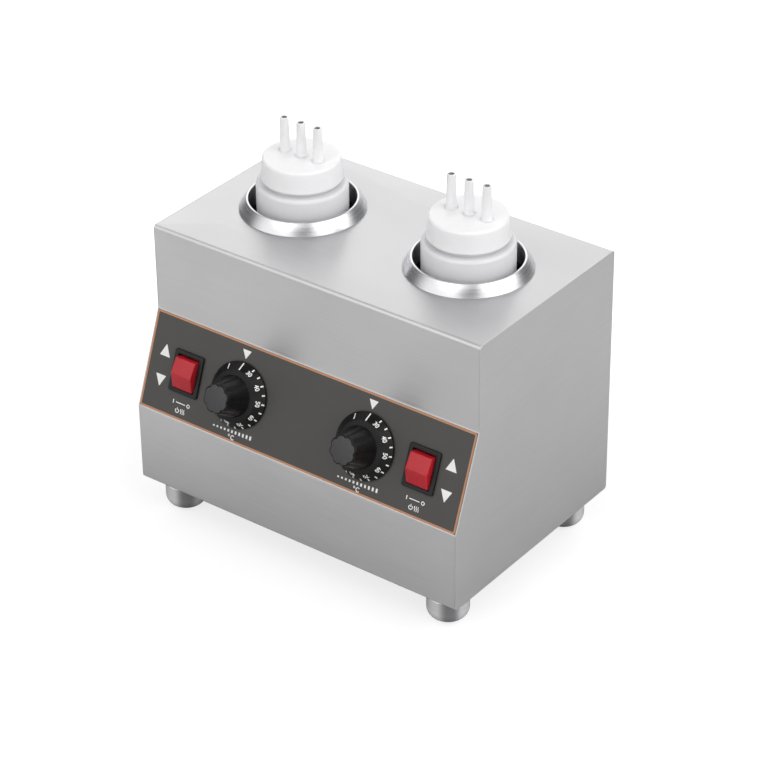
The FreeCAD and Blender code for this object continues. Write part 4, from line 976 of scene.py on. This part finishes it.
@dataclass
class DialKnob:
    """A dial: a conical skirt with its marks, and a fluted grip with a flat face."""

    palette: Palette
    side: Side
    skirt_low: float = 1.2
    skirt_edge: float = 2.6
    skirt_radius: float = 28.0
    skirt_low_round: float = 0.4
    skirt_edge_round: float = 0.7
    cone_radius: float = 21.6
    cone_top: float = 9.0
    cone_round: float = 1.0
    root_radius: float = 17.4
    root: float = 9.8
    root_round: float = 0.4
    face_radius: float = 12.6
    face: float = 32.4
    face_round: float = 1.2
    face_proud: float = 0.08
    flutes: int = 8
    flute_depth: float = 1.7
    flute_sharpness: float = 2.4
    flute_rise: float = 3.0
    around: int = 192
    steps: int = 9
    first_number: int = 30
    number_step: int = 10
    numbers: int = 8
    number_start: float = 24.0
    number_pitch: float = 32.5
    number_height: float = 3.9
    number_down: float = 3.0
    long_line: tuple[float, ...] = (0.0, 0.9, 8.3, 1.15)
    short_line: tuple[float, ...] = (-30.0, 1.7, 7.4, 0.95)
    tick: tuple[float, ...] = (6.0, 8.5, 1.2)
    line_points: int = 5
    mark_sunk: float = 0.15
    mark_proud: float = 0.05

    def build(self) -> None:
        """Make the knob, its face and its marks."""
        site = panel_site(f"knob_{self.side.label}_turn")
        body = f"knob_{self.side.label}"
        knob = make_piece(f"{body}_grip", site, self.grip())
        settle(knob, body, self.palette.knob, [body])
        face = make_piece(f"{body}_face", site, self.face_disc())
        settle(face, body, self.palette.knob_face)
        marks = make_piece(f"{body}_lines", site, join_surfaces(self.lines()))
        settle(marks, body, self.palette.white_ink)
        numbers = make_piece(f"{body}_numbers", site, join_surfaces(self.number_ring()))
        settle(numbers, body, self.palette.white_ink)

    @property
    def slope(self) -> float:
        """How steeply the skirt's cone falls, in radians."""
        return math.atan2(self.cone_top - self.skirt_edge, self.skirt_radius - self.cone_radius)

    def pulled(self, radius: np.ndarray, height: np.ndarray) -> np.ndarray:
        """Radii drawn in by r d f (1/2 + cos(n a) / 2)^q / R, once a flute.

        The share f is s^2 (3 - 2 s), where s grows from 0 at the grip's root to 1 over the rise.
        """
        angle = np.arange(self.around) * 2 * math.pi / self.around
        share = np.clip((height - self.root) / self.flute_rise, 0, 1)
        wave = (0.5 + 0.5 * np.cos(self.flutes * angle)) ** self.flute_sharpness
        reach = radius * (1 - self.flute_depth * share**2 * (3 - 2 * share) * wave / self.root_radius)
        return np.stack([reach * np.cos(angle), reach * np.sin(angle), height + 0 * angle], 2)

    def grip(self) -> Surface:
        """The knob's skin, from under its skirt to the middle of its face."""
        corners = [(0, self.skirt_low, 0), (self.skirt_radius, self.skirt_low, self.skirt_low_round),
                   (self.skirt_radius, self.skirt_edge, self.skirt_edge_round),
                   (self.cone_radius, self.cone_top, self.cone_round),
                   (self.root_radius, self.root, self.root_round),
                   (self.face_radius, self.face, self.face_round), (0, self.face, 0)]
        profile = rounded_profile(corners, False, self.steps)
        return loft(self.pulled(profile[:, :1], profile[:, 1:]))

    def face_disc(self) -> Surface:
        """The matte face: a thin plate whose edge follows the flutes."""
        edge = self.face_radius - self.face_round
        radius = np.array([[0.0], [edge], [edge], [edge - self.face_proud], [0.0]])
        rise = np.array([[-1.0], [-1.0], [0.5], [1.0], [1.0]]) * self.face_proud
        return loft(self.pulled(radius, self.face + rise))

    def on_cone(self, surface: Surface, start: float) -> Surface:
        """Bend a flat mark round the skirt's cone.

        A point (u, v, w) goes to the angle start + u / r, clockwise from the top, at the radius
        r = R + v cos b and the height H - v sin b, and w stands square to the cone of slope b.
        """
        points, faces = surface
        fall, run = math.sin(self.slope), math.cos(self.slope)
        radius = self.cone_radius + points[:, 1] * run
        angle = math.radians(start) + points[:, 0] / radius
        reach = radius + points[:, 2] * fall
        height = self.cone_top - points[:, 1] * fall + points[:, 2] * run
        bent = np.stack([reach * np.sin(angle), reach * np.cos(angle), height], 1)
        return bent, facing_out(bent, faces)

    def lines(self) -> list[Surface]:
        """The long line at the top, a shorter one before it and a tick at each half number.

        A line is its angle, its two distances down the cone and its width.
        """
        angles = self.number_start + np.arange(2 * self.numbers - 1) * self.number_pitch / 2
        lines = [self.long_line, self.short_line, *((float(angle), *self.tick) for angle in angles)]
        marks = []
        for angle, inner, outer, width in lines:
            down = np.linspace(inner, outer, self.line_points)
            band = stroke(np.stack([0 * down, down], 1), width, -self.mark_sunk, self.mark_proud)
            marks.append(self.on_cone(band, angle))
        return marks

    def number_ring(self) -> list[Surface]:
        """Each number, with its foot towards the grip."""
        ring = []
        for i in range(self.numbers):
            flat = lettering(str(self.first_number + i * self.number_step), self.number_height,
                             -self.mark_sunk, self.mark_proud)
            ring.append(self.on_cone(shifted(flat, 0.0, self.number_down),
                                     self.number_start + i * self.number_pitch))
        return ring


@dataclass
class RockerSwitch:
    """A black switch frame with its tub, and the red rocker that tips in it."""

    palette: Palette
    side: Side
    pivot_depth: float = 2.0
    frame_width: float = 30.0
    frame_height: float = 36.0
    frame_corner: float = 2.0
    frame_low: float = 0.4
    frame_face: float = 2.7
    frame_round: float = 0.75
    frame_foot_round: float = 0.1
    frame_draft: float = 0.3
    frame_lip_round: float = 0.4
    tub_mouth_round: float = 0.5
    tub_width: float = 21.8
    tub_height: float = 28.8
    tub_corner: float = 0.8
    tub_wall: float = 0.9
    tub_back: float = 23.0
    tub_floor: float = 2.0
    rocker_width: float = 21.0
    rocker_length: float = 26.4
    rocker_root: float = 6.0
    rocker_end: float = 5.2
    rocker_ridge: float = 9.4
    ridge_round: float = 3.5
    edge_round: float = 0.95
    root_round: float = 0.3
    stub_radius: float = 1.5
    stub_length: float = 22.8
    tilt: float = 7.0

    def build(self) -> None:
        """Make the frame and the rocker."""
        site = panel_site(f"rocker_{self.side.label}_tilt", self.pivot_depth)
        label = self.side.label
        body = make_piece(f"switch_{label}_frame", site, self.frame())
        settle(body, "casing", self.palette.black, [f"switch_body_{label}"])
        rocker = make_piece(f"rocker_{label}_cap", site, self.tipped(self.rocker()))
        settle(rocker, f"rocker_{label}", self.palette.red, [f"rocker_{label}"])

    def frame(self) -> Surface:
        """Frame and tub in one skin: (1 - s) A + s B between the outer outline A and the inner B."""
        inset = (self.frame_width - self.tub_width) / 2
        outer = rounded_box(self.frame_width, self.frame_height, self.frame_corner)
        inner = rounded_box(self.tub_width, self.tub_height, self.tub_corner)
        outside = inset - self.tub_wall
        corners = [(outside, -self.tub_back, 0), (outside, self.frame_low, 0),
                   (0, self.frame_low, self.frame_foot_round), (0, self.frame_face, self.frame_round),
                   (inset - self.frame_draft, self.frame_face, self.frame_lip_round),
                   (inset, self.frame_low, self.tub_mouth_round),
                   (inset, self.tub_floor - self.tub_back, 0)]
        profile = rounded_profile(corners, closed=False, steps=5)
        skin = [(1 - share) * outer + share * inner for share in profile[:, 0] / inset]
        heights = [profile[0, 1], *profile[:, 1], profile[-1, 1]]
        return layers([outer * 0, *skin, inner * 0], heights)

    def rocker_outline(self, inset: float) -> np.ndarray:
        """The rocker's side outline, as rows of (up, out), drawn in by an inset."""
        half = self.rocker_length / 2 - inset
        root = (inset - self.rocker_root, self.root_round)
        end = (self.rocker_end - inset, self.edge_round)
        ridge = (self.rocker_ridge - inset, self.ridge_round)
        corners = [(-half, *root), (half, *root), (half, *end), (0, *ridge), (-half, *end)]
        return rounded_profile(corners, closed=True, steps=8)

    def rocker(self) -> Surface:
        """The roof-shaped rocker with quarter-round side edges, x = h - r (1 - cos a), and its stubs."""
        turn = np.linspace(0, math.pi / 2, 6)
        reach = self.rocker_width / 2 - self.edge_round * (1 - np.cos(turn))
        insets = self.edge_round * (1 - np.sin(turn))
        across = np.concatenate([-reach[:1], -reach, reach[::-1], reach[:1]])
        outlines = [self.rocker_outline(inset) for inset in np.concatenate([insets, insets[::-1]])]
        ends = outlines[0] * 0 + outlines[0].mean(axis=0)
        rings = [np.column_stack([np.full(len(spots), x), spots])
                 for x, spots in zip(across, [ends, *outlines, ends])]
        half, radius = self.stub_length / 2, self.stub_radius
        points, faces = revolve(np.array([[0, -half], [radius, -half], [radius, half], [0, half]]), around=24)
        stubs = (points[:, [2, 0, 1]] - np.array([0, 0, self.pivot_depth]), faces)
        return join_surfaces([loft(np.stack(rings)), stubs])

    def tipped(self, surface: Surface) -> Surface:
        """Turn a surface about the pivot by the rocker's tilt at rest."""
        points, faces = surface
        sine, cosine = math.sin(math.radians(self.tilt)), math.cos(math.radians(self.tilt))
        up, out = points[:, 1], points[:, 2] + self.pivot_depth
        tipped = [points[:, 0], up * cosine - out * sine, up * sine + out * cosine - self.pivot_depth]
        return np.stack(tipped, 1), faces


@dataclass
class PanelPrint:
    """What is printed on the panel's film: its orange border and the white marks by the controls."""

    palette: Palette
    width: float = 322.6
    height: float = 83.58
    middle: float = 42.99
    controls_up: float = 41.4
    film: float = 0.4
    sunk: float = 0.2
    proud: float = 0.04
    border_inset: float = 0.9
    border_width: float = 1.7
    border_corner: float = 1.2
    dial_x: float = 64.2
    switch_x: float = 119.7
    arrow_x: float = 145.5
    arrow_width: float = 10.6
    arrow_round: float = 0.25
    upper_arrow: Span = (48.5, 59.0)
    lower_arrow: Span = (32.5, 22.5)
    dial_arrow: Span = (79.3, 71.6)
    dial_arrow_width: float = 8.8
    dial_arrow_shift: float = -1.2
    upper_signs: float = 15.2
    lower_signs: float = 8.6
    line: float = 0.7
    heat_lines: tuple[float, ...] = (1.0, 2.7, 4.4)
    heat_low: float = 6.7
    heat_height: float = 4.2
    heat_swing: float = 0.35
    heat_width: float = 0.65
    scale_reach: float = 19.0
    scale_bars: int = 11
    scale_heights: Span = (1.3, 3.4)
    scale_width: float = 1.7

    def build(self) -> None:
        """Print the border and the marks."""
        dial = panel_site("knob_right_turn")
        origin = dial.origin - dial.across * dial.origin[0] - dial.up * self.controls_up
        site = Site(origin, dial.across, dial.up, dial.out)
        border = make_piece("panel_border", site, self.border())
        settle(border, "casing", self.palette.orange_ink)
        marks = make_piece("panel_marks", site, join_surfaces(self.marks()))
        settle(marks, "casing", self.palette.white_ink)

    @property
    def span(self) -> Span:
        """The ink's underside and face."""
        return self.film - self.sunk, self.film + self.proud

    def border(self) -> Surface:
        """A band just inside the film's edge."""
        inset = 2 * self.border_inset
        path = rounded_box(self.width - inset, self.height - inset, self.border_corner)
        return shifted(stroke(path, self.border_width, *self.span, closed=True), 0.0, self.middle)

    def arrow(self, across: float, base: float, tip: float, width: float) -> Surface:
        """A triangle that stands on its base and points to its tip."""
        spots = ((across - width / 2, base), (across + width / 2, base), (across, tip))
        corners = [(*spot, self.arrow_round) for spot in spots]
        return plate(rounded_profile(corners, closed=True, steps=3), *self.span)

    def bar(self, across: float, low: float, high: float, width: float) -> Surface:
        """An upright bar."""
        return stroke(np.array([[across, low], [across, high]]), width, *self.span)

    def level(self, up: float, start: float, end: float, width: float) -> Surface:
        """A level line."""
        return stroke(np.array([[start, up], [end, up]]), width, *self.span)

    def curl(self, across: float, up: float, radius: float, arc: Span, width: float,
             closed: bool = False) -> Surface:
        """A band along an arc about a point, in degrees clockwise from the top, or a closed ring."""
        return shifted(stroke(arc_path(radius, *arc), width, *self.span, closed), across, up)

    def marks(self) -> list[Surface]:
        """Arrows by the switches and over the dials, and a row of signs under each control."""
        found = []
        for side in Side:
            arrow_x, switch_x, dial_x = (side.value * x for x in (self.arrow_x, self.switch_x, self.dial_x))
            found += [self.arrow(arrow_x, *self.upper_arrow, self.arrow_width),
                      self.arrow(arrow_x, *self.lower_arrow, self.arrow_width),
                      self.arrow(dial_x + self.dial_arrow_shift, *self.dial_arrow, self.dial_arrow_width)]
            found += [shifted(sign, switch_x, 0.0) for sign in self.switch_signs()]
            found += [shifted(sign, dial_x, 0.0) for sign in self.dial_signs()]
        return found

    def switch_signs(self) -> list[Surface]:
        """A line between a bar and a ring for on and off, over a power sign and rising heat."""
        upper, lower = self.upper_signs, self.lower_signs
        signs = [self.bar(across=-8.2, low=upper - 1.6, high=upper + 1.6, width=0.9),
                 self.level(up=upper, start=-5.6, end=4.2, width=0.75),
                 self.curl(across=7.4, up=upper, radius=1.35, arc=(0, 345), width=self.line, closed=True),
                 self.curl(across=-2.8, up=lower, radius=1.75, arc=(40, 320), width=self.line),
                 self.bar(across=-2.8, low=lower + 0.3, high=lower + 2.6, width=self.line)]
        rise = np.linspace(0, 1, 13)
        for x in self.heat_lines:
            sway = self.heat_swing * np.sin(rise * 2 * math.pi)
            wave = np.stack([x + sway, self.heat_low + self.heat_height * rise], 1)
            signs.append(stroke(wave, self.heat_width, *self.span))
        return signs

    def dial_signs(self) -> list[Surface]:
        """Bars that grow from cool to hot, over a degree sign and its letter."""
        places = np.linspace(-self.scale_reach, self.scale_reach, self.scale_bars)
        low, heights = self.lower_signs, np.linspace(*self.scale_heights, self.scale_bars)
        signs = [self.bar(x, low, low + height, self.scale_width) for x, height in zip(places, heights)]
        return signs + [
            self.curl(across=-2.2, up=6.2, radius=0.75, arc=(0, 340), width=0.5, closed=True),
            self.curl(across=1.6, up=5.0, radius=1.7, arc=(130, 410), width=0.75),
        ]


@dataclass
class CableGland:
    """The black gland low on the back: a flanged body and a domed nut, both six-sided."""

    palette: Palette
    spigot: float = 7.8
    thread: float = 6.8
    seal: float = 5.3
    body_flats: float = 22.0
    body_thickness: float = 4.0
    inner_length: float = 10.0
    outer_end: float = 11.0
    nut_flats: float = 19.0
    nut_end: float = 14.6
    nut_bore: float = 4.2
    dome_round: float = 3.0
    body_edge: float = 0.5
    nut_edge: float = 0.4
    thread_gap: float = 0.2
    corner_limit: float = 1.09

    def build(self) -> None:
        """Make the body and the nut."""
        mount = next(row for row in frame["record"]["mounts"] if row["name"] == "cable_gland_bore")
        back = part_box("rear_sheet")[1].y / MM
        origin = np.array([mount["pos_m"][0] / MM, back, mount["pos_m"][2] / MM])
        site = Site(origin, np.array([-1.0, 0, 0]), np.array([0, 0, 1.0]), np.array([0, 1.0, 0]))
        for name, rows in (("gland_body", self.body_rows()), ("gland_nut", self.nut_rows())):
            piece = make_piece(name + "_moulded", site, self.turned(rows))
            settle(piece, "casing", self.palette.black, [name])

    def turned(self, rows: Sequence[tuple[float, float, float]]) -> Surface:
        """A closed section turned about the out axis, each row between a circle and a hexagon.

        The reach is (1 - h) r + h min(r / cos(a mod 60 - 30), k r), with a in degrees and k the limit
        that rounds the corners off.

        Args:
            rows: Rows of (radius or half the flats r, height, share of hexagon h).

        Returns:
            Points and outward quads.
        """
        angle = np.arange(AROUND) * 2 * math.pi / AROUND
        radius, height, share = (np.array(rows)[:, i : i + 1] for i in range(3))
        corner = np.cos(angle % (math.pi / 3) - math.pi / 6)
        hexagon = np.minimum(radius / corner, self.corner_limit * radius)
        reach = (1 - share) * radius + share * hexagon
        return loft(np.stack([reach * np.cos(angle), reach * np.sin(angle), height + 0 * angle], 2), True)

    def body_rows(self) -> list[tuple[float, float, float]]:
        """The body's section, from its spigot inside the casing to its thread under the nut."""
        half, edge, face = self.body_flats / 2, self.body_edge, self.body_thickness
        return [(self.seal, -self.inner_length, 0), (self.spigot, -self.inner_length, 0), (self.spigot, 0, 0),
                (half - edge, 0, 1), (half, edge, 1), (half, face - edge, 1), (half - edge, face, 1),
                (self.thread, face, 0), (self.thread, self.outer_end, 0), (self.seal, self.outer_end, 0)]

    def nut_rows(self) -> list[tuple[float, float, float]]:
        """The nut's section, whose flats fade out as its dome rounds over."""
        half, low, end = self.nut_flats / 2, self.body_thickness, self.nut_end
        edge, bore, mouth, dome = self.nut_edge, self.nut_bore, self.thread + self.thread_gap, self.dome_round
        rows = [(mouth, low, 0), (half - edge, low, 1), (half, low + edge, 1)]
        for angle in np.linspace(0, math.pi / 2, 9):
            rows.append((half - dome + dome * math.cos(angle), end - dome + dome * math.sin(angle),
                         math.cos(angle) ** 2))
        return rows + [(bore + edge, end, 0), (bore, end - edge, 0), (bore, self.outer_end, 0),
                       (mouth, self.outer_end, 0)]


@dataclass(frozen=True)
class Glow:
    """A soft round patch of the dome: its strength fades between two angles from its middle."""

    azimuth: float
    elevation: float
    inner: float
    outer: float
    strength: float

    @property
    def way(self) -> tuple[float, float, float]:
        """The direction of its middle, with the azimuth counted from +X towards +Y."""
        turn, rise = math.radians(self.azimuth), math.radians(self.elevation)
        return math.cos(turn) * math.cos(rise), math.sin(turn) * math.cos(rise), math.sin(rise)

    @property
    def fade(self) -> Span:
        """The cosines of the angles where it ends and where it is full."""
        return math.cos(math.radians(self.outer)), math.cos(math.radians(self.inner))


@dataclass
class Studio:
    """A white floor, a dome with soft patches of light, and the photograph's camera."""

    azimuth: float = 37.244
    elevation: float = 32.004
    roll: float = 0.633
    distance: float = 2.41626
    target: tuple[float, float, float] = (0.01135, 0.00346, 0.13048)
    lens: float = 137.85
    sensor: float = 36.0
    floor_size: float = 12.0
    floor_roughness: float = 0.9
    floor_tone: float = 0.54
    # Painted shade: the floor's colour falls from floor_tone to a darker tone within a ring round the object.
    near_tone: float = 0.3
    near_reach: float = 0.2
    far_reach: float = 0.42
    floor_lift: float = 0.76
    mirror_lift: float = 0.05
    dome: float = 0.3
    glows: tuple[Glow, ...] = (
        Glow(122, 34, 6, 50, 1.2),
        Glow(-53, 12, 70, 104, 0.83),
        Glow(-90, 62, 6, 32, 1.25),
        Glow(-53, 39, 8, 23, -1.05),
        Glow(115, 80, 22, 46, -1.25),
        Glow(-172, 58, 4, 22, 0.7),
        Glow(20, 48, 5, 40, 1.7),
        Glow(68, 3, 6, 34, -0.17),
        Glow(-174, 3, 6, 34, -0.17),
    )

    def build(self) -> None:
        """Lay the floor, light the dome and set the camera."""
        self.lay_floor()
        self.light_world()
        self.set_camera()
        bpy.context.scene.view_settings.view_transform = "Standard"

    def lay_floor(self) -> None:
        """A pale floor that keeps the object's shadow and clears to white where the camera sees it, with
        painted shade: its colour darker near the object's middle.
        """
        half = self.floor_size / 2
        mesh = bpy.data.meshes.new("studio_floor")
        corners = [(-half, -half, 0), (half, -half, 0), (half, half, 0), (-half, half, 0)]
        mesh.from_pydata(corners, [], [(0, 1, 2, 3)])
        floor = bpy.data.objects.new("studio_floor", mesh)
        bpy.context.scene.collection.objects.link(floor)
        nodes = Finish("white_floor")
        path = nodes.add("LightPath")
        rays = {0: path.outputs["Is Glossy Ray"], 1: path.outputs["Is Transmission Ray"]}
        mirrored = nodes.add("Math", rays, operation="MAXIMUM")
        faint = nodes.add("Math", {0: mirrored.outputs[0], 1: self.mirror_lift}, operation="MULTIPLY")
        seen = nodes.add("Math", {0: path.outputs["Is Camera Ray"], 1: self.floor_lift,
                                  2: faint.outputs[0]}, operation="MULTIPLY_ADD")
        # Painted shade round the object: darker nearer the middle.
        away = nodes.add("VectorMath", {0: nodes.place((1, 1, 0))}, operation="LENGTH").outputs["Value"]
        tone = nodes.add("MapRange", {"Value": away, "From Min": self.near_reach, "From Max": self.far_reach,
                                      "To Min": self.near_tone, "To Max": self.floor_tone})
        nodes.feed(nodes.shader, {
            "Base Color": tone.outputs["Result"],
            "Roughness": self.floor_roughness,
            "Specular IOR Level": 0.0,
            "Emission Color": (1, 1, 1, 1),
            "Emission Strength": seen.outputs[0],
        })
        mesh.materials.append(nodes.material)

    def light_world(self) -> None:
        """A plain dome plus its glows, each by the cosine of the angle to its middle, white to the camera."""
        world = bpy.data.worlds.new("studio_dome")
        bpy.context.scene.world = world
        world.use_nodes = True
        nodes = Wiring(world.node_tree)
        ray = nodes.add("TexCoord").outputs["Generated"]
        total: float | bpy.types.NodeSocket = self.dome
        for glow in self.glows:
            least, most = glow.fade
            cosine = nodes.add("VectorMath", {0: ray, 1: glow.way}, operation="DOT_PRODUCT").outputs["Value"]
            fade = nodes.add("MapRange", {"Value": cosine, "From Min": least, "From Max": most, "To Min": 0.0,
                                          "To Max": glow.strength}, interpolation_type="SMOOTHSTEP")
            total = nodes.add("Math", {0: total, 1: fade.outputs["Result"]}, operation="ADD").outputs[0]
        total = nodes.add("Math", {0: total, 1: 0.0}, operation="MAXIMUM").outputs[0]
        seen = nodes.add("LightPath").outputs["Is Camera Ray"]
        level = nodes.add("MapRange", {"Value": seen, "To Min": total, "To Max": 1.0})
        nodes.feed(nodes.tree.nodes["Background"], {"Strength": level.outputs["Result"],
                                                    "Color": (1, 1, 1, 1)})

    def set_camera(self) -> None:
        """Stand the camera where the photograph was taken from."""
        turn, rise = math.radians(self.azimuth), math.radians(self.elevation)
        back = Vector((math.sin(turn) * math.cos(rise), -math.cos(turn) * math.cos(rise), math.sin(rise)))
        camera = bpy.data.objects.new("camera", bpy.data.cameras.new("camera"))
        camera.data.lens = self.lens
        camera.data.sensor_width = self.sensor
        camera.rotation_mode = "QUATERNION"
        level = (-back).to_track_quat("-Z", "Y")
        tilt = Matrix.Rotation(math.radians(-self.roll), 3, "Z").to_quaternion()
        camera.rotation_quaternion = level @ tilt
        camera.location = Vector(self.target) + back * self.distance
        bpy.context.scene.collection.objects.link(camera)
        bpy.context.scene.camera = camera


def dress_nodes(palette: Palette) -> None:
    """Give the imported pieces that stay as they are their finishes."""
    pairs = {
        "probe_clips": palette.base_steel, "base_screws": palette.zinc,
        "foot_bolts": palette.zinc, "foot_nuts": palette.zinc, "heater_clamp_screws": palette.zinc,
        "thermostat_screws": palette.zinc, "terminal_mount_screws": palette.zinc, "earth_stud": palette.zinc,
        "switch_terminals": palette.brass, "terminal_clamp_screws": palette.brass,
        "terminal_block": palette.black, "foot_pads": palette.rubber, "gland_seal": palette.rubber,
        "gland_locknut": palette.black,
        "earth_lead": palette.earth, "control_overlay": palette.film,
    }
    for side in Side:
        pairs.update({
            f"heater_band_{side.label}": palette.silicone, f"cap_liner_{side.label}": palette.seal,
            f"thermostat_shaft_{side.label}": palette.zinc, f"thermostat_{side.label}": palette.black,
            f"thermostat_probe_{side.label}": palette.copper, f"leads_{side.label}": palette.lead,
        })
    for node, material in pairs.items():
        mesh = frame["nodes"][node].data
        mesh.materials.clear()
        mesh.materials.append(material)


def main() -> None:
    palette = Palette()
    Casing(palette).build()
    for side in Side:
        Well(palette, side).build()
        SqueezeBottle(palette, side).build()
        DialKnob(palette, side).build()
        RockerSwitch(palette, side).build()
    PanelPrint(palette).build()
    CableGland(palette).build()
    dress_nodes(palette)
    Studio().build()


if __name__ == "__main__":
    logging.basicConfig(level=logging.INFO)
    main()
